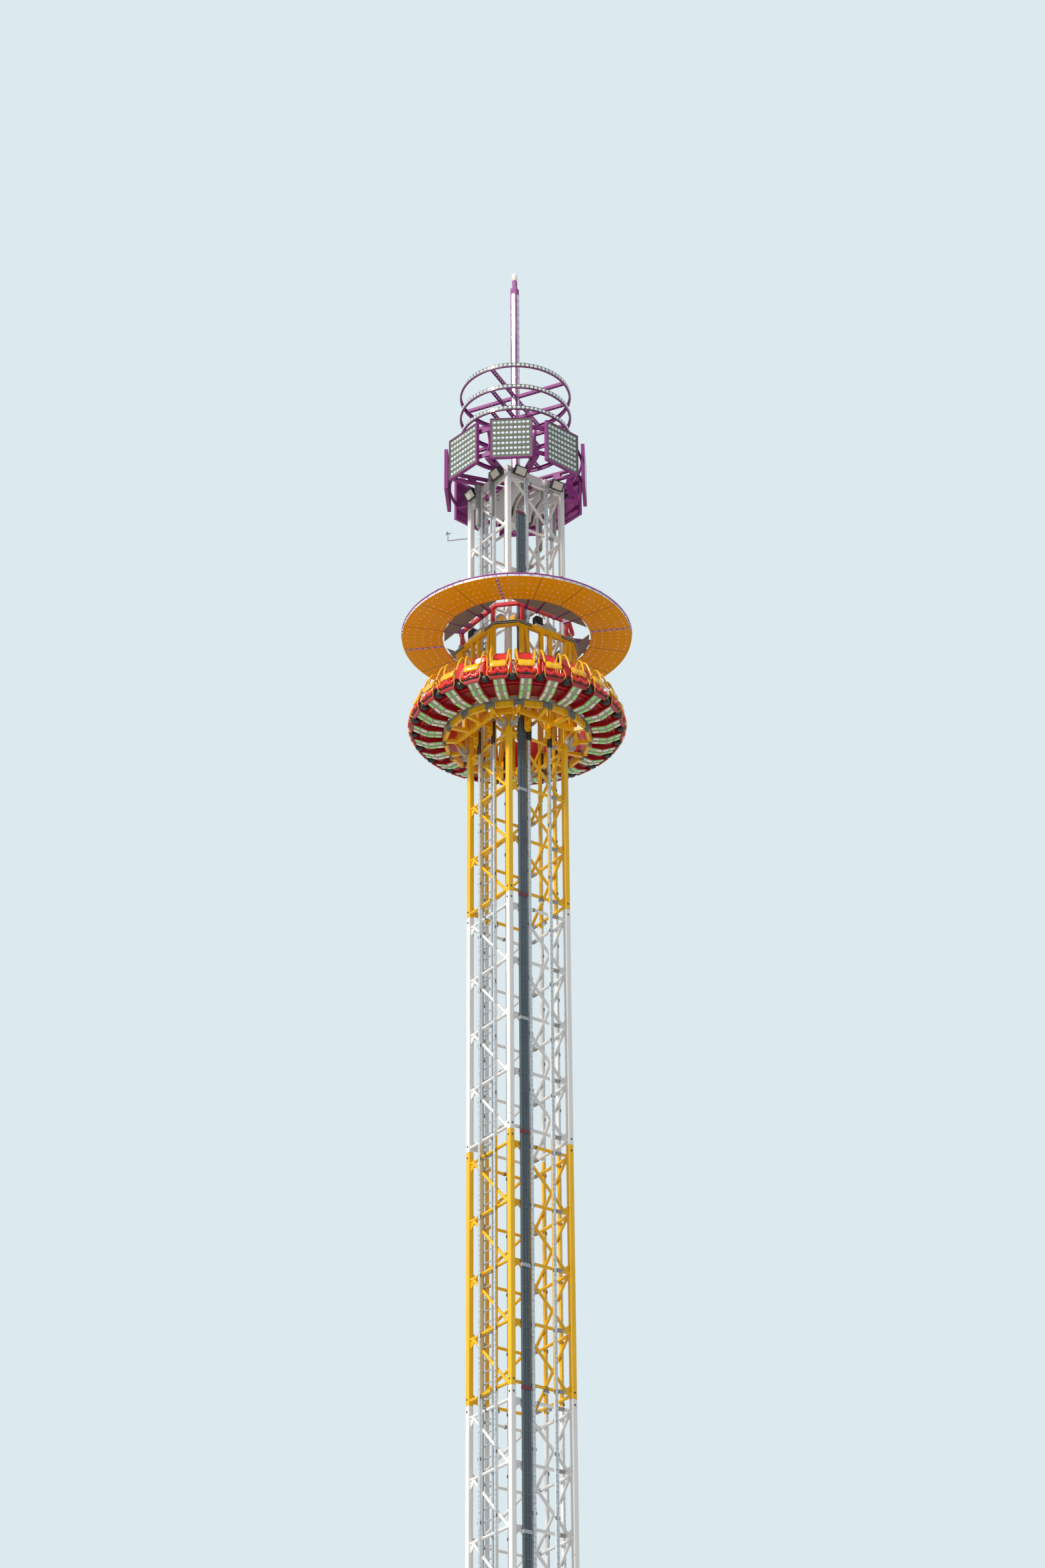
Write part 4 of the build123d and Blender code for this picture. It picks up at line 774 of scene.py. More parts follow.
for z in (low + ring_height / 2 for low in tiers):
    spoke += [block((spoke_start, ring_in + spoke_bite), y, (z - spoke_half, z + spoke_half))
              for y in ((-spoke_half, -inner_half), (inner_half, spoke_half))]
    for k in range(int((ring_in - spoke_start) / window_pitch) + 1):
        x = spoke_start + k * window_pitch
        spoke += [block((x, x + bridge_width), (-inner_half, inner_half), (z + rise, z + rise + spoke_wall))
                  for rise in (-spoke_half, inner_half)]
spokes = solid("punched_spokes", around(spoke, 4, spoke_turn), crown_paint)
fitted(spokes, "tower", "crown_purple", "ring_spokes")

# Mast: a square purple tube with a strip of white light tiles up each face, dark joints between
# the tiles, and a milky lamp on a short neck at the top.
mast_face, tile_half, tile_thick, joint_thick = 0.0412, 0.019, 0.005, 0.004
tile_height, tile_pitch, tile_low, tile_high = 0.101, 0.112, 25.96, 28.95
finished("mast", crown_paint)
tile_feet = [tile_low + k * tile_pitch for k in range(int((tile_high - tile_low) / tile_pitch))]
tile_x, joint_x = (mast_face, mast_face + tile_thick), (mast_face, mast_face + joint_thick)
tile_y = (-tile_half, tile_half)
tiles = [block(tile_x, tile_y, (z, z + tile_height)) for z in tile_feet]
joints = [block(joint_x, tile_y, (z + tile_height, z + tile_pitch)) for z in tile_feet]
fitted(solid("mast_tiles", around(tiles, 4, spoke_turn), lamp_caps), "tower", "lamp_white")
fitted(solid("mast_tile_joints", around(joints, 4, spoke_turn), flood_black), "tower", "flood_black")
# Opal glass: warm white all through, with a soft shine.
milky = lens("milky_lamp_glass", ("#F3EEE6", "#F3EEE6", "#D8CFC2"), 0.25, 0.1)
dome_line = [(0, 0), (0.028, 0), (0.029, 0.014), (0.036, 0.020), (0.038, 0.045), (0.0375, 0.072),
             (0.034, 0.094), (0.026, 0.110), (0.014, 0.118), (0, 0.120)]
dome = moved(lathe(dome_line, 32), (0, 0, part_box("mast_lamp")[0].z))
fitted(solid("mast_dome", [dome], milky, True), "tower", "lamp_white", "mast_lamp")

# Carriage: two square rings of box section with cut corners, joined by uprights and braces, all
# sprayed yellow. Cast saddles on arms around the lower ring carry the turning ring of seats, each
# held between two bolted yellow cheeks.
carriage_low, carriage_high = (limit.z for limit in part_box("carriage_frame"))
saddle_count, saddle_turn = 16, radians(11.25)
saddle_in, saddle_out, saddle_half, saddle_top = 0.8602, 0.8998, 0.065, 0.0795
arch_half, arch_rise, arch_steps = 0.036, 0.036, 10
cheek_in, cheek_out, cheek_y = 0.850, 0.9015, (0.0654, 0.0780)
cheek_low, cheek_high, cheek_cut = -0.010, 0.072, 0.008
cheek_bolt_out, cheek_bolt_z, saddle_bolt_z = 0.880, (0.010, 0.054), 0.060
bolt_size = (0.0075, 0.0065, 0.005, 6)


def lifted(shapes, height):
    """Shapes moved up to a height."""
    return [moved(shape, (0, 0, height)) for shape in shapes]


def on_both_sides(outline, y):
    """A plate on each side of a middle plane, between two distances from it."""
    return [prism(outline, *sorted(s * at for at in y), "y") for s in (-1, 1)]


# Yellow gloss a little deeper than the tower's, and bare grey castings with rubbed spots.
carriage_paint = painted_steel("yellow_carriage_paint", "#F7B80A", "#8F6410")
for name in ("carriage_frame", "saddle_arms"):
    finished(name, carriage_paint)
saddle_iron = painted_steel("grey_cast_saddles", "#747876", "#3A3836", rough=(0.45, 0.7), chip="#8C8C8A")
arch = [(-saddle_half, 0), (-arch_half, 0)]
arch += [(-arch_half * cos(a), arch_rise * sin(a))
         for a in (pi * k / arch_steps for k in range(1, arch_steps))]
arch += [(arch_half, 0), (saddle_half, 0), (saddle_half, saddle_top), (-saddle_half, saddle_top)]
saddle = lifted([prism(arch, saddle_in, saddle_out, "x")], carriage_low)
saddles = solid("cast_saddles", around(saddle, saddle_count, saddle_turn), saddle_iron)
fitted(saddles, "carriage", "saddle_grey", "saddles")
cheek_line = [(cheek_in, cheek_low), (cheek_out - cheek_cut, cheek_low), (cheek_out, cheek_low + cheek_cut),
              (cheek_out, cheek_high - cheek_cut), (cheek_out - cheek_cut, cheek_high),
              (cheek_in, cheek_high)]
cheek_pair = lifted(on_both_sides(cheek_line, cheek_y), carriage_low)
cheeks = solid("saddle_cheeks", around(cheek_pair, saddle_count, saddle_turn), carriage_paint)
fitted(cheeks, "carriage", "carriage_yellow")
bolt_places = [((cheek_bolt_out, s * (cheek_y[1] - sunk), carriage_low + z), (0, s, 0))
               for s in (-1, 1) for z in cheek_bolt_z]
bolt_places.append(((saddle_out - sunk, 0, carriage_low + saddle_bolt_z), (1, 0, 0)))
cheek_bolts = stud_set("cheek_bolts", spun(bolt_places, saddle_count, saddle_turn), pin_black, *bolt_size)
fitted(cheek_bolts, "carriage", "shoe_black")

# Guide wheels: turned steel wheels with a polished tread and a pale hub, one on each outer face of
# every column below the lower ring, and a second set in yellow forks on the upper ring.
wheel_x, wheel_y, wheel_drop, upper_rise, upper_out = 0.4055, -0.506, 0.070, 0.078, 0.006
side_reach, side_half, fork_drop, fork_rise = 0.0285, 0.004, 0.020, 0.016
# Turned steel: pale and bright on the hub, greyer where it runs.
wheel_tread = painted_steel("polished_wheel_tread", "#A9A39C", "#6A635B", rough=(0.3, 0.5))
wheel_steel = painted_steel("turned_wheel_steel", "#C9C2BA", "#77706A", rough=(0.25, 0.45))
tread_line = both_ways([(0.046, -0.017), (0.052, -0.020), (0.0640, -0.020), (0.0670, -0.016)])
disc_line = both_ways([(0, -0.0236), (0.012, -0.0236), (0.015, -0.020), (0.018, -0.012), (0.040, -0.010),
                       (0.0462, -0.0165)])
wheel_places = [(x, wheel_y - out, z) for x in (-wheel_x, wheel_x)
                for z, out in ((carriage_low - wheel_drop, 0), (carriage_high + upper_rise, upper_out))]
treads = around([moved(lathe(tread_line, 36, "x"), place) for place in wheel_places], 4)
fitted(solid("guide_wheel_tyres", treads, wheel_tread, True), "carriage", "wheel_rubber", "guide_wheels")
discs = around([moved(lathe(disc_line, 24, "x"), place) for place in wheel_places], 4)
fitted(solid("guide_wheel_discs", discs, wheel_steel, True), "carriage", "saddle_grey")


def wheel_sides(outline, height):
    """Plates on both sides of the wheels of every column, at a height."""
    plates = [prism(outline, x + side * side_reach - side_half, x + side * side_reach + side_half, "x")
              for x in (-wheel_x, wheel_x) for side in (-1, 1)]
    return around(lifted(plates, height), 4)


hanger_line = [(-0.628, -0.0003), (-0.548, -0.0003), (-0.494, -0.058), (-0.494, -0.082), (-0.518, -0.082),
               (-0.545, -0.062)]
hangers = solid("wheel_hangers", wheel_sides(hanger_line, carriage_low), carriage_paint)
fitted(hangers, "carriage", "carriage_yellow", "wheel_brackets")
fork_line = [(-0.595, 0.0), (-0.500, 0.0), (-0.488, upper_rise - fork_drop), (-0.488, upper_rise + fork_rise),
             (-0.540, upper_rise + fork_rise)]
forks = solid("upper_wheel_forks", wheel_sides(fork_line, carriage_high), carriage_paint)
fitted(forks, "carriage", "carriage_yellow")

# Guide shoes: black channels of hard plastic that run along the rails, on yellow back plates with
# pointed lower ends, each bolted on and tied to the lower ring by a web.
shoe_high, plate_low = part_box("guide_shoes")[1].z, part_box("shoe_plates")[0].z
plate_x, plate_half, plate_y, plate_point = (-0.184, 0.116), 0.045, (-0.4833, -0.4693), 0.030
tip_left, tip_right, web_half, web_end, web_height = 0.022, 0.030, 0.007, -0.5777, 0.070
plate_bolt_places = ((0.022, 0.035), (0.022, 0.090), (-0.026, 0.060), (0.022, 0.150))
# Hard black plastic: low gloss, greyed by dust.
shoe_plastic = painted_steel("black_shoe_plastic", "#181818", "#5A554E", rough=(0.4, 0.6))
finished("guide_shoes", shoe_plastic)
back_shapes, back_bolt_places = [], []
for x in plate_x:
    left, right = x - plate_half, x + plate_half
    tip = [(left, plate_low + plate_point), (left + tip_left, plate_low), (right - tip_right, plate_low),
           (right, plate_low + plate_point), (right, shoe_high), (left, shoe_high)]
    back_shapes.append(prism(tip, *plate_y, "y"))
    back_shapes.append(block((x - web_half, x + web_half), (web_end, plate_y[0]),
                             (carriage_low, carriage_low + web_height)))
    back_bolt_places += [((x + aside_by, plate_y[0] + sunk, plate_low + rise), (0, -1, 0))
                         for aside_by, rise in plate_bolt_places]
backs = solid("shoe_back_plates", around(back_shapes, 4), carriage_paint)
fitted(backs, "carriage", "carriage_yellow", "shoe_plates")
back_bolts = stud_set("shoe_plate_bolts", spun(back_bolt_places, 4), pin_black, *bolt_size)
fitted(back_bolts, "carriage", "shoe_black")

# Upper ring fittings: dull white cable trays on the ring, pale and black conduits round its cut
# corners, a black drive box and a white air tube on each side.
ring_face, ring_flat, ring_cut_face, slant = 0.628, 0.413, 0.7361, 0.7071
cut_half, conduit_radius, return_length = 0.146, 0.0050, 0.190
conduit_drops = {"pale": (0.008, 0.032), "black": (0.020, 0.044)}
air_place = (0.062, -0.590, 0.061)
# Off-white enamel, dulled by dust.
tray_paint = painted_steel("dull_white_tray_paint", "#BDB9AE", "#7A7468")
finished("cable_trays", tray_paint)
face, cut_face = ring_face + conduit_radius, slant * (ring_cut_face + conduit_radius)
cut_reach = slant * cut_half
for tone, finish, slot in (("pale", tray_paint, "tray_white"), ("black", shoe_plastic, "shoe_black")):
    lines = []
    for z in (carriage_high - drop for drop in conduit_drops[tone]):
        lines.append([(-cut_face - s * cut_reach, -cut_face + s * cut_reach, z) for s in (-1, 1)])
        lines.append([(-ring_flat, -face, z), (return_length - ring_flat, -face, z)])
        lines.append([(-face, -ring_flat, z), (-face, return_length - ring_flat, z)])
    lines = [[turn @ Vector(p) for p in line] for turn in quarter_turns for line in lines]
    fitted(tube_set(f"{tone}_conduits", lines, finish, conduit_radius, 8), "carriage", slot)
drive_box = block((-0.146, -0.046), (-0.622, -0.545), (0.0345, 0.150))
drive_lid = block((-0.138, -0.054), (-0.630, -0.6225), (0.050, 0.140))
drives = around(lifted([drive_box, drive_lid], carriage_high), 4)
fitted(solid("drive_boxes", drives, shoe_plastic), "carriage", "shoe_black")
air_line = both_ways([(0, -0.100), (0.020, -0.100), (0.026, -0.094)])
air_tubes = around(lifted([moved(lathe(air_line, 20, "x"), air_place)], carriage_high), 4)
fitted(solid("air_tubes", air_tubes, tray_paint, True), "carriage", "tray_white")

# Roof frame and canopy: a red square ring on posts over the carriage, purple ribs out from it, and
# a flat ring of orange sheet-metal panels under the ribs with rows of small red lamps in them.
# Grey-brown sheets line the gap between the frame and the panels.
canopy_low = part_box("canopy_panels")[0].z
canopy_in, canopy_out, panel_lamp_rows, panel_lamp_columns = 0.906, 1.396, 5, 96
panel_lamp_size = (0.0140, 0.0095, 0.007, 8)
strip_x, strip_top = (canopy_in + 0.004, canopy_out - 0.004), canopy_low + 0.001
seam_half, seam_drop, seam_count, corner_step, first_corner = 0.0025, 0.0012, 16, 4, 2
corner_half, corner_drop, tie_in, tie_out, tie_drop = 0.008, 0.002, 0.0078, 0.013, 0.004
cleat_first, cleat_length, cleat_pitch, cleat_count, cleat_top = 0.03, 0.025, 0.075, 6, 0.0018
# Red gloss on the frame and dark purple on the ribs, and matt grey-brown sheet in the gap, in streaks.
finished("roof_frame", painted_steel("red_roof_paint", "#D8232A", "#6B0A10"))
finished("canopy_ribs", painted_steel("dark_purple_rib_paint", "#6E1C57", "#330C2A"))
lining_sheet = painted_steel("grey_brown_lining_sheet", "#8C7B70", "#5B4D45", streak_mm=120, rough=(0.6, 0.8),
                             lacquer=0, shine=0.2)
finished("canopy_lining", lining_sheet)
# Orange paint on sheet, gone flat, bleached in places to a pale yellow.
canopy_paint = painted_steel("orange_canopy_paint", "#F2A000", "#E0B24C", patch_mm=260, streak_mm=300,
                             dust_share=0.9, rough=(0.45, 0.6), chip="#E8C98A", chip_share=0.05, lacquer=0,
                             shine=0.06)
finished("canopy_panels", canopy_paint)
# Soft red plastic: slightly cloudy, with a weak light in it.
panel_lamp_red = lens("red_panel_lamps", ("#FA8A66", "#F0704C", "#D05634"), 0.5, 0.25)
row_step = (canopy_out - canopy_in) / panel_lamp_rows
lamp_line = [((canopy_in + (k + 0.5) * row_step, 0, canopy_low + sunk), (0, 0, -1))
             for k in range(panel_lamp_rows)]
lamp_lines = spun(lamp_line, panel_lamp_columns, pi / panel_lamp_columns)
fitted(stud_set("panel_lamps", lamp_lines, panel_lamp_red, *panel_lamp_size), "carriage", "panel_light")
# Brown sealing strip on the joints, purple gloss on the corner channels and pale plastic in them.
seam_brown = painted_steel("dark_seam_strip", "#5A4A28", "#2E2614")
rim_paint = painted_steel("purple_rim_paint", "#A2408C", "#5A1F4E")
rim_strip = lens("pale_rim_strip", ("#DCE6EE", "#E6EEF4", "#B9C9D8"), 0.3)
seam = block(strip_x, (-seam_half, seam_half), (canopy_low - seam_drop, strip_top))
seams = [turned(seam, 2 * pi * k / seam_count) for k in range(seam_count) if k % corner_step != first_corner]
fitted(solid("panel_seams", seams, seam_brown), "carriage", "canopy_orange")
corner_strip = block(strip_x, (-corner_half, corner_half), (canopy_low - corner_drop, strip_top))
fitted(solid("corner_strips", around([corner_strip], 4, pi / 4), rim_strip), "carriage", "lamp_white")
corner_ties = [block(strip_x, y, (canopy_low - tie_drop, strip_top))
               for y in ((-tie_out, -tie_in), (tie_in, tie_out))]
cleat_z = (canopy_low - tie_drop, canopy_low - cleat_top)
corner_ties += [block((x, x + cleat_length), (-tie_in, tie_in), cleat_z)
                for x in (canopy_in + cleat_first + k * cleat_pitch for k in range(cleat_count))]
fitted(solid("corner_channels", around(corner_ties, 4, pi / 4), rim_paint), "carriage", "canopy_purple")

# Canopy rim: a purple tube carried on short posts round the edge of the panels, with a pale light
# strip and small white and pink lamps under it.
rim_low, rim_high = (limit.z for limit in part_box("canopy_rim"))
rim_out, rim_tube, rim_sides, rim_tube_sides = 1.4195, 0.009, 128, 10
rim_post_count, rim_post_x, rim_post_half, rim_post_low = 64, (1.404, 1.4115), 0.004, 0.004
strip_in, strip_out, strip_low, strip_high = 1.4045, 1.4090, 0.004, 0.036
lip_in, lip_out, lip_low, lip_high = canopy_out - 0.003, 1.4100, -0.0005, 0.0035
rim_lamp_count, rim_lamp_size = 132, (0.010, 0.007, 0.006, 8)
tube_out, tube_up = rim_out - rim_tube, rim_high - rim_low - rim_tube
rim_line = [(tube_out + rim_tube * cos(a), tube_up + rim_tube * sin(a))
            for a in (2 * pi * k / rim_tube_sides for k in range(rim_tube_sides))]
rim_post = block(rim_post_x, (-rim_post_half, rim_post_half), (rim_post_low, tube_up))
rim_shapes = [lathe(rim_line, rim_sides)] + around([rim_post], rim_post_count)
rolled_rim = solid("rolled_rim", lifted(rim_shapes, rim_low), rim_paint, True)
fitted(rolled_rim, "carriage", "canopy_purple", "canopy_rim")
light_strip = lifted([lathe(flat_ring(strip_in, strip_out, strip_low, strip_high), rim_sides)], rim_low)
fitted(solid("rim_light_strip", light_strip, rim_strip, True), "carriage", "lamp_white")
lip = lifted([lathe(flat_ring(lip_in, lip_out, lip_low, lip_high), rim_sides)], rim_low)
fitted(solid("panel_lip", lip, canopy_paint, True), "carriage", "canopy_orange")
# White and pink plastic, mixed from lamp to lamp, with a weak light in it.
rim_lamp_caps = lens("white_and_pink_rim_lamps", ("#FFFFFF", "#F07AC8", "#E8DCEC"), 0.2, 0.2)
rim_lamps = spun([((strip_out - sunk, 0, rim_low + (strip_low + strip_high) / 2), (1, 0, 0))], rim_lamp_count)
fitted(stud_set("rim_lamps", rim_lamps, rim_lamp_caps, *rim_lamp_size), "carriage", "lamp_white")

# Turning ring: a steel rail on the saddles, dark red carriers out from it with links and skins
# between them, and under each carrier a bent plate set with two columns of light bars.
seat_count, carrier_half = 24, 0.031
half_step = pi / seat_count
ring_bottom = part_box("ring_rail")[0].z
panel_in, panel_knee, panel_end, panel_rise = 0.908, 1.085, 1.262, 0.080
bar_half, bar_width, bar_depth, bar_cut = 0.038, 0.0165, 0.008, 0.008
bar_column, bar_shares = 0.042, (0.26, 0.74)
flank_in, flank_step, flank_end = panel_in + 0.010, 1.150, panel_end - 0.002
flank_gap, flank_low, flank_high, flank_y = 0.001, 0.054, 0.110, (0.0695, 0.0765)
sheet_in, sheet_out, sheet_z = 1.172, 1.260, (0.100, 0.105)
wall_at, wall_x, wall_z = 1.124, (1.1235, 1.1345), (0.050, 0.110)
# Bare steel rubbed bright, dark red gloss on carriers and skins, and beige enamel under a lot of dust.
# The skins' red is darker than the carriers': painted shade for the recesses between the carriers.
finished("ring_rail", painted_steel("worn_rail_steel", "#B4AA9C", "#6A6156", rough=(0.3, 0.5)))
carrier_paint = painted_steel("dark_red_carrier_paint", "#B3131B", "#4A060A")
finished("seat_ring_frame", carrier_paint)
# Skin paint: the carriers' red made darker, as painted shade in the recesses between carriers.
painted_shade_skin_paint = painted_steel("painted_shade_red_skins", "#8A0D15", "#3A0508")
finished("ring_skins", painted_shade_skin_paint)
panel_sheet = painted_steel("beige_panel_sheet", "#A59C88", "#5E5745", rough=(0.4, 0.6), dust_share=0.9)
finished("light_panels", panel_sheet)
rings, sizes = maker("ring", Count=24, First=0.0)
spots = node(rings, "GeometryNodeMeshLine", {"Count": sizes["Count"], "Offset": (0.0, 0.0, 0.0)},
             mode="OFFSET")
step_angle = node(rings, "ShaderNodeMath", {0: 2 * pi, 1: sizes["Count"]}, operation="DIVIDE")
number = node(rings, "GeometryNodeInputIndex")
angle = node(rings, "ShaderNodeMath", {0: number, 1: step_angle, 2: sizes["First"]}, operation="MULTIPLY_ADD")
spin = node(rings, "ShaderNodeCombineXYZ", {"Z": angle})
repeat = node(rings, "GeometryNodeInstanceOnPoints", {"Points": spots, "Instance": sizes["Geometry"],
                                                      "Rotation": spin})
close(rings, repeat, sizes["Finish"])


def ringed(piece, first=0.0):
    """The piece repeated round the tower's axis, one to a seat, in place of the single one."""
    finish = piece.data.materials[0]
    made = grown(piece.name + "_ring", piece.data, rings, finish, Count=seat_count, First=first)
    bpy.data.objects.remove(piece)
    return made


def between_carriers(radius):
    """Half of the clear width between two carriers at a radius."""
    return radius * tan(half_step) - carrier_half / cos(half_step)


slope = Vector((panel_end - panel_knee, 0, panel_rise))
bar_flat, bar_side = bar_half - bar_cut, bar_width - bar_cut
bar_line = [(-bar_flat, -bar_width), (bar_flat, -bar_width), (bar_half, -bar_side), (bar_half, bar_side),
            (bar_flat, bar_width), (-bar_flat, bar_width), (-bar_half, bar_side), (-bar_half, -bar_side)]
bar = prism(bar_line, -bar_depth, sunk)
tilted_bar = turned(bar, -slope.angle(Vector((1, 0, 0))), "Y")
bars = []
for y in (-bar_column, bar_column):
    for share in bar_shares:
        bars.append(moved(bar, (panel_in + share * (panel_knee - panel_in), y, ring_bottom)))
        bars.append(moved(tilted_bar, (panel_knee + share * slope.x, y, ring_bottom + share * slope.z)))
# Cream and green plastic, one colour to a bar, with a weak light in it.
bar_plastic = lens("green_and_cream_light_bars", ("#E2E5C8", "#94E57C", "#7F9A66"), 0.3, 0.12, 9)
fitted(ringed(solid("light_bars", bars, bar_plastic)), "seat_ring", "panel_light")
flank_line = [(flank_in, flank_gap), (panel_knee, flank_gap), (flank_end, panel_rise + flank_gap),
              (flank_end, flank_high), (flank_step, flank_high), (flank_step, flank_low),
              (flank_in, flank_low)]
flanks = lifted(on_both_sides(flank_line, flank_y), ring_bottom)
fitted(ringed(solid("carrier_sides", flanks, carrier_paint)), "seat_ring", "ring_red")
near, far, wall_half = (between_carriers(radius) for radius in (sheet_in, sheet_out, wall_at))
sheet_line = [(sheet_in, -near), (sheet_out, -far), (sheet_out, far), (sheet_in, near)]
sheets = lifted([prism(sheet_line, *sheet_z), block(wall_x, (-wall_half, wall_half), wall_z)], ring_bottom)
# The outer sheets take the skins' darker red: painted shade between the carriers.
fitted(ringed(solid("outer_sheets", sheets, painted_shade_skin_paint), half_step), "seat_ring", "ring_red")

# Seats: glossy red moulded shells, one to a carrier, with raised sides, round shoulders and a front
# edge that dips for the legs. A black moulding and a red plate close each one below, with black
# covers on its sides and the black pod of the restraint's lock between two seats.
pan_lip_drop = 0.030
pan_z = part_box("seat_pans")[0].z + pan_lip_drop
shell_half, shell_deep, roll_radius = 0.122, 0.085, 0.0205
belly_half, apron_half, cover_y, pod_half, pod_tall = 0.106, 0.104, (0.1215, 0.1285), 0.038, 0.080
shell_line = [(-1.00, 0.10), (-0.93, 0.0), (-0.45, 0.0), (0.0, 0.0), (0.45, 0.0), (0.93, 0.0), (1.00, 0.10),
              (1.00, 0.80), (0.97, 0.96), (0.89, 1.0), (0.82, 0.90), (0.77, 0.54), (0.40, 0.50), (0.0, 0.49),
              (-0.40, 0.50), (-0.77, 0.54), (-0.82, 0.90), (-0.89, 1.0), (-0.97, 0.96), (-1.00, 0.80)]
# Along the shell: radius, height, the way the inside faces, shares of width and depth.
shell_path = [
    (1.030, 0.450, 0, 0.50, 0.22), (1.024, 0.443, 0, 0.66, 0.30), (1.021, 0.420, 0, 0.83, 0.40),
    (1.020, 0.385, 0, 0.93, 0.48), (1.020, 0.300, 0, 1.00, 0.56), (1.020, 0.180, 0, 1.00, 0.70),
    (1.020, 0.100, 3, 1.00, 0.86), (1.024, 0.050, 22, 1.00, 0.95), (1.038, 0.016, 52, 1.00, 1.00),
    (1.066, 0.002, 80, 1.00, 1.00), (1.120, 0.000, 90, 1.00, 1.00), (1.200, 0.000, 90, 1.00, 1.00),
    (1.255, 0.000, 90, 1.00, 0.98), (1.284, 0.001, 88, 0.99, 0.94), (1.296, 0.004, 85, 0.97, 0.84),
    (1.302, 0.010, 80, 0.93, 0.62),
]
# The front roll, from one side of a seat to its middle: radius, place across, height.
roll_points = [(1.284, 0.110, 0.066), (1.297, 0.104, 0.046), (1.303, 0.082, 0.029), (1.304, 0.055, 0.025),
               (1.304, 0.030, 0.036), (1.302, 0.010, 0.054), (1.302, 0.000, 0.057)]


def lofted(path, outline, half, depth, low):
    """A closed skin through one outline after another along a path in the radial plane."""
    points = []
    for x, z, way, wide, deep in path:
        facing = np.array([cos(radians(way)), 0, sin(radians(way))])
        points += [np.array([x, across * half * wide, low + z]) + facing * deep * depth * rise
                   for across, rise in outline]
    count, rows = len(outline), len(path)
    faces = [tuple(range(count)), tuple(range((rows - 1) * count, rows * count))]
    faces += [(here + i, here + (i + 1) % count, here + count + (i + 1) % count, here + count + i)
              for here in range(0, (rows - 1) * count, count) for i in range(count)]
    return np.array(points), faces


def curved(points, steps=6):
    """A smooth line through points."""
    ends = [2 * points[0] - points[1], *points, 2 * points[-1] - points[-2]]
    line = []
    for a, b, c, d in zip(ends, ends[1:], ends[2:], ends[3:]):
        for t in (k / steps for k in range(steps)):
            line.append((2 * b + (c - a) * t + (2 * a - 5 * b + 4 * c - d) * t ** 2
                         + (3 * b - a - 3 * c + d) * t ** 3) / 2)
    return line + [points[-1]]


def smoothed(piece):
    """A piece with its faces divided once into a smoother mesh."""
    divider = piece.modifiers.new("divider", "SUBSURF")
    divider.levels = divider.render_levels = 1
    piece.data = worked_out(piece)
    return piece


# Gloss polyester on a glass-fibre moulding: deep even red, fine scratches, sun-faded in clouds.
seat_red = painted_steel("red_seat_moulding", "#EA271A", "#A81410", patch_mm=160, streak_mm=30,
                         rough=(0.1, 0.26), dust_share=0.35, chip="#F06A58", chip_share=0.02)
shell = solid("seat_shell", [lofted(shell_path, shell_line, shell_half, shell_deep, pan_z)], seat_red, True)
fitted(ringed(smoothed(shell)), "seat_ring", "seat_red", "seat_pans", "seat_backs")
roll_line = [Vector((x, y, pan_z + z)) for x, y, z in roll_points]
roll_line += [Vector((x, -y, pan_z + z)) for x, y, z in roll_points[-2::-1]]
fitted(ringed(tube_set("front_roll", [curved(roll_line, 4)], seat_red, roll_radius)), "seat_ring", "seat_red")
belly_line = [(1.2655, -0.006), (1.294, -0.005), (1.303, 0.008), (1.304, 0.040), (1.2655, 0.040)]
belly = lifted([prism(belly_line, -belly_half, belly_half, "y")], pan_z)
fitted(ringed(solid("seat_belly", belly, shoe_plastic)), "seat_ring", "cushion_black")
apron_line = [(1.2645, -0.006), (1.292, -0.002), (1.286, -0.042), (1.2645, -0.042)]
apron = lifted([prism(apron_line, -apron_half, apron_half, "y")], pan_z)
fitted(ringed(solid("seat_apron", apron, carrier_paint)), "seat_ring", "ring_red")
cover_line = [(1.190, -0.010), (1.215, -0.040), (1.270, -0.040), (1.294, -0.005), (1.296, 0.050),
              (1.275, 0.085), (1.225, 0.090), (1.195, 0.060)]
covers = lifted(on_both_sides(cover_line, cover_y), pan_z)
fitted(ringed(solid("seat_side_covers", covers, shoe_plastic)), "seat_ring", "cushion_black")
pod_line = [(a, (b + 1) / 2) for a, b in rounded_square(1.0, 0.6)]
pod_path = [(1.204, -0.026, 90, 0.50, 0.50), (1.208, -0.038, 90, 0.75, 0.75), (1.220, -0.050, 90, 0.94, 0.94),
            (1.250, -0.055, 90, 1.0, 1.0), (1.278, -0.050, 90, 0.95, 0.90), (1.290, -0.042, 90, 0.80, 0.74),
            (1.295, -0.034, 90, 0.55, 0.52)]
pod = solid("lock_pod", [lofted(pod_path, pod_line, pod_half, pod_tall, pan_z)], shoe_plastic, True)
fitted(ringed(pod, half_step), "seat_ring", "cushion_black")

# Cushions: foam pads under a stretched wipe-clean cover, black on each seat and red on each back,
# glued at the base and sewn round the edge.
pad_reach, pad_width, pad_thick, pad_voxel, pad_base = (1.086, 1.234), 0.092, 0.030, 0.011, 0.042
back_reach, back_width, back_thick = (0.085, 0.375), 0.92 * pad_width, 0.034
back_voxel, back_out = 0.014, 1.044
puff_limit, puff_pressure, puff_frames, held_share = 0.007, 4.0, 20, 0.2


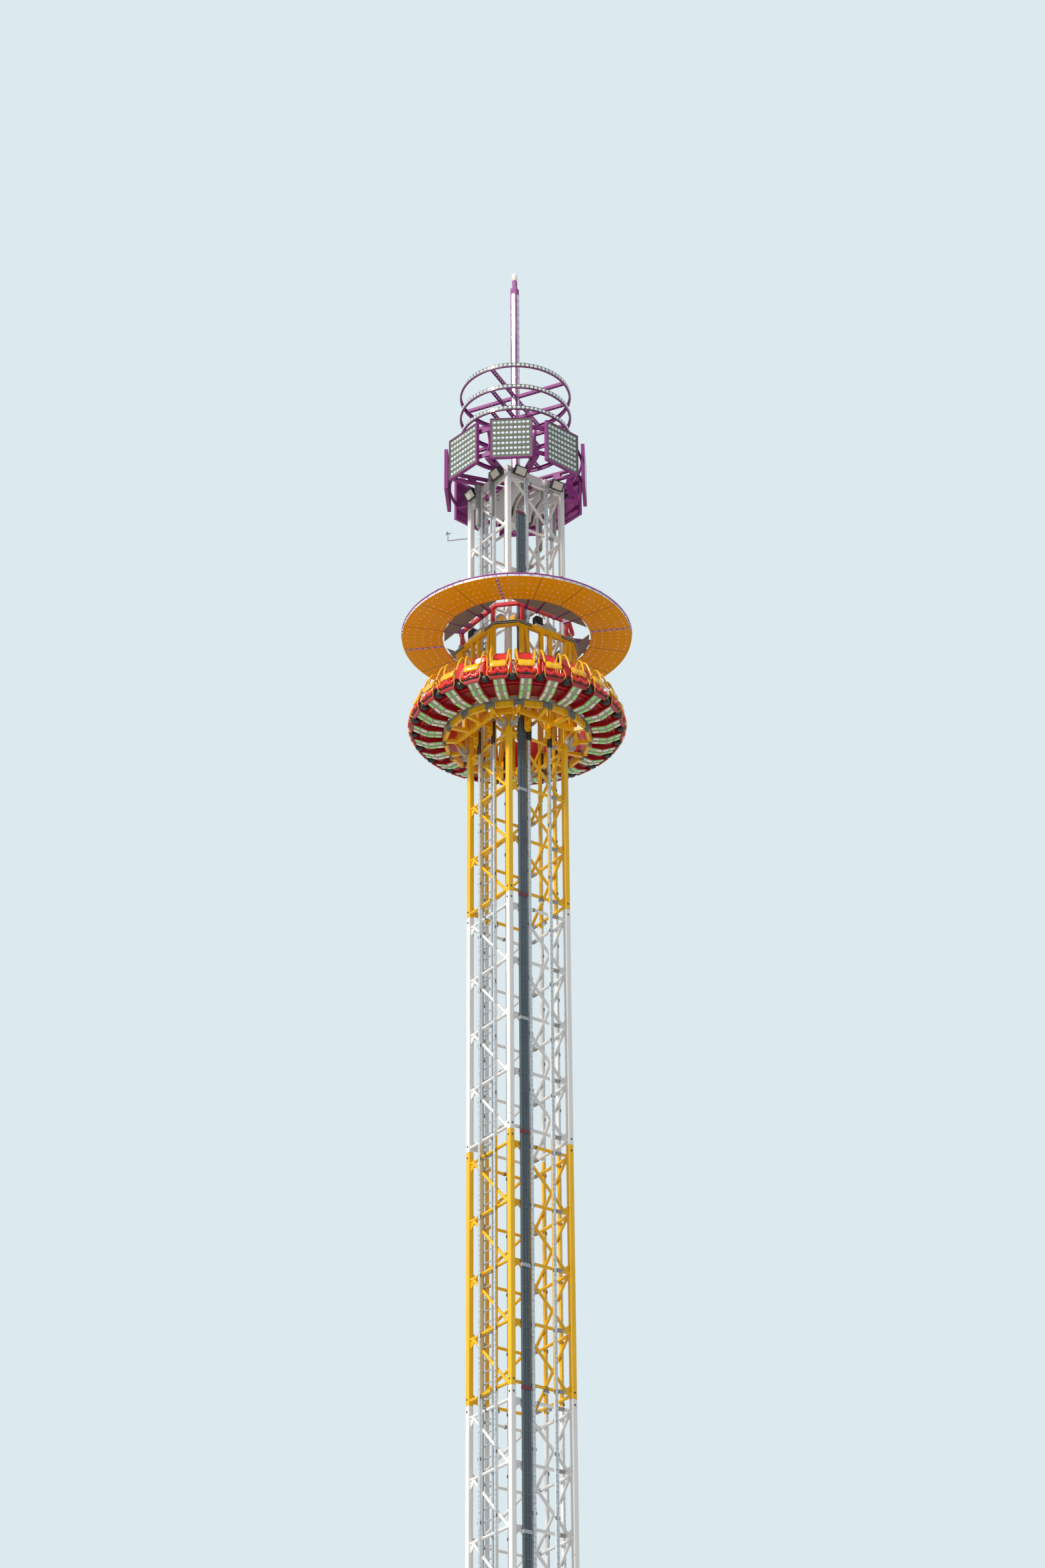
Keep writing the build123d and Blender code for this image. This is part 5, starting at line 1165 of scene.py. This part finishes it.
def coated_cloth(name, dark, light, pebble_mm=3, wear_mm=80):
    """Coated upholstery cloth: satin, with a fine pebble grain, drawn at 3 mm so that it shows."""
    finish, tree, coat, place = bare_finish(name)
    pebble = node(tree, "ShaderNodeTexVoronoi", {"Vector": place, "Scale": 1000 / pebble_mm})
    wear = node(tree, "ShaderNodeTexNoise", {"Vector": place, "Scale": 1000 / wear_mm, "Detail": 4})
    tint = node(tree, "ShaderNodeMix", {0: wear.outputs["Fac"], 6: linear(dark), 7: linear(light)},
                data_type="RGBA")
    tree.links.new(tint.outputs[2], coat.inputs["Base Color"])
    bump = node(tree, "ShaderNodeBump", {"Height": pebble.outputs["Distance"], "Strength": 0.25,
                                         "Distance": 0.001})
    tree.links.new(bump.outputs[0], coat.inputs["Normal"])
    coat.inputs["Roughness"].default_value = 0.5
    return finish


cover_black = coated_cloth("black_coated_cloth", "#0E0E10", "#2E2C2B")
cover_red = coated_cloth("red_coated_cloth", "#B81410", "#E03028")


def crowned(half, thick, steps=12):
    """A pad on a flat base: its top rises to the middle and its sides pull in between the corners."""
    spread = np.linspace(-1, 1, steps + 1)
    points = []
    for top in (0, 1):
        for u in spread:
            for v in spread:
                rise = thick * (0.55 + 0.45 * (1 - u ** 4) * (1 - v ** 4)) if top else 0
                long, wide = half[0] * u * (0.95 + 0.05 * v * v), half[1] * v * (0.95 + 0.05 * u * u)
                points.append((long, wide, rise))
    row, layer = steps + 1, (steps + 1) ** 2
    faces = []
    for i in range(steps):
        for j in range(steps):
            a, b = i * row + j, (i + 1) * row + j
            faces += [(a, a + 1, b + 1, b), (layer + a, layer + b, layer + b + 1, layer + a + 1)]
    border = list(range(steps)) + [i * row + steps for i in range(steps)]
    border += [steps * row + steps - i for i in range(steps)] + [(steps - i) * row for i in range(steps)]
    faces += [(a, b, layer + b, layer + a) for a, b in zip(border, border[1:] + border[:1])]
    return np.array(points), faces


def stuffed(name, half, thick, voxel, finish):
    """A stuffed pad: a crowned form blown up as cloth, held at its base."""
    piece = solid(name, [crowned(half, thick)], finish)
    shaper = piece.modifiers.new("even_mesh", "REMESH")
    shaper.mode, shaper.voxel_size, shaper.use_smooth_shade = "VOXEL", voxel, True
    piece.data = worked_out(piece)
    before = np.array([v.co for v in piece.data.vertices])
    held = piece.vertex_groups.new(name="held")
    held.add([i for i, p in enumerate(before) if p[2] < held_share * thick], 1.0, "REPLACE")
    cloth = piece.modifiers.new("cover", "CLOTH")
    cloth.settings.use_pressure = True
    cloth.settings.uniform_pressure_force = puff_pressure
    cloth.settings.vertex_group_mass = "held"
    cloth.settings.effector_weights.gravity = 0
    cloth.point_cache.frame_start, cloth.point_cache.frame_end = 1, puff_frames
    for moment in range(1, puff_frames + 1):
        scene.frame_set(moment)
    mesh = worked_out(piece)
    swell = np.array([v.co for v in mesh.vertices]) - before
    reach = np.maximum(np.linalg.norm(swell, axis=1, keepdims=True), 1e-9)
    mesh.vertices.foreach_set("co", (before + swell * np.minimum(1, puff_limit / reach)).ravel())
    piece.vertex_groups.clear()
    piece.data = mesh
    scene.frame_set(1)
    return smoothed(piece)


def laid(piece, base, long_way, across, up):
    """Puts a stuffed pad in place: its base's middle, and the ways of its length, width and thickness."""
    pad_turn = Matrix((long_way, across, up)).transposed().to_4x4()
    piece.data.transform(Matrix.Translation(base) @ pad_turn)
    return piece


radial, side, upward = Vector((1, 0, 0)), Vector((0, 1, 0)), Vector((0, 0, 1))
pad_half = ((pad_reach[1] - pad_reach[0]) / 2, pad_width)
seat_pad = stuffed("seat_pad", pad_half, pad_thick, pad_voxel, cover_black)
laid(seat_pad, (sum(pad_reach) / 2, 0, pan_z + pad_base), radial, side, upward)
fitted(ringed(seat_pad), "seat_ring", "cushion_black", "seat_cushions")
back_half = ((back_reach[1] - back_reach[0]) / 2, back_width)
back_pad = stuffed("back_pad", back_half, back_thick, back_voxel, cover_red)
laid(back_pad, (back_out, 0, pan_z + sum(back_reach) / 2), upward, side * -1, radial)
fitted(ringed(back_pad), "seat_ring", "seat_red")

# Restraints: bent yellow tubes from both sides of a seat back up over the shoulders and down to the
# lap, where a curved yellow plate joins them, with a black pad on its inner side and a belt at each
# end down to the seat.
arm_radius, arm_sides, belt_radius, belt_sides = 0.0125, 12, 0.0045, 6
lap_half, lap_thick, lap_pad_half, lap_pad_thick = 0.100, 0.024, (0.036, 0.085), 0.022
lap_pad_voxel, lap_pad_out, lap_pad_up = 0.009, 1.272, 0.156
lap_pad_down, lap_pad_facing = Vector((0.6, 0, -0.8)), Vector((-0.8, 0, -0.6))
# Yellow gloss on handled tube: smooth and bright, with few marks.
restraint_paint = painted_steel("yellow_restraint_paint", "#FFC21A", "#C98A10", patch_mm=120, streak_mm=30,
                                rough=(0.15, 0.3))
arm_points = [(1.052, 0.103, 0.255), (1.060, 0.107, 0.330), (1.078, 0.112, 0.395), (1.112, 0.114, 0.432),
              (1.152, 0.113, 0.424), (1.190, 0.110, 0.372), (1.218, 0.105, 0.295), (1.240, 0.098, 0.215)]
arm_lines = [curved([Vector((x, s * y, pan_z + z)) for x, y, z in arm_points]) for s in (-1, 1)]
arms = tube_set("restraint_tubes", arm_lines, restraint_paint, arm_radius, arm_sides)
fitted(ringed(arms), "seat_ring", "restraint_yellow", "restraint_arms")
lap_line = [(-1.0, 0.0), (-0.6, 0.35), (-0.25, 0.20), (0.0, 0.05), (0.25, 0.20), (0.6, 0.35), (1.0, 0.0),
            (1.0, 0.75), (0.6, 1.25), (0.25, 1.12), (0.0, 1.0), (-0.25, 1.12), (-0.6, 1.25), (-1.0, 0.75)]
lap_path = [(1.234, 0.212, 80, 0.84, 0.8), (1.246, 0.200, 66, 0.97, 1.0), (1.262, 0.180, 50, 1.0, 1.05),
            (1.275, 0.156, 34, 1.0, 1.05), (1.282, 0.130, 20, 0.94, 1.0), (1.283, 0.112, 8, 0.80, 0.7)]
lap = solid("lap_plate", [lofted(lap_path, lap_line, lap_half, lap_thick, pan_z)], restraint_paint, True)
fitted(ringed(lap), "seat_ring", "restraint_yellow")
belt_points = [(1.276, 0.098, 0.150), (1.300, 0.122, 0.095), (1.318, 0.129, 0.045), (1.310, 0.126, 0.005),
               (1.291, 0.106, -0.025)]
belt_lines = [curved([Vector((x, s * y, pan_z + z)) for x, y, z in belt_points], 4) for s in (-1, 1)]
belts = tube_set("restraint_belts", belt_lines, restraint_paint, belt_radius, belt_sides)
fitted(ringed(belts), "seat_ring", "restraint_yellow")
lap_pad = stuffed("lap_pad", lap_pad_half, lap_pad_thick, lap_pad_voxel, cover_black)
laid(lap_pad, (lap_pad_out, 0, pan_z + lap_pad_up), lap_pad_down, side * -1, lap_pad_facing)
fitted(ringed(lap_pad), "seat_ring", "pad_black", "restraint_pads")
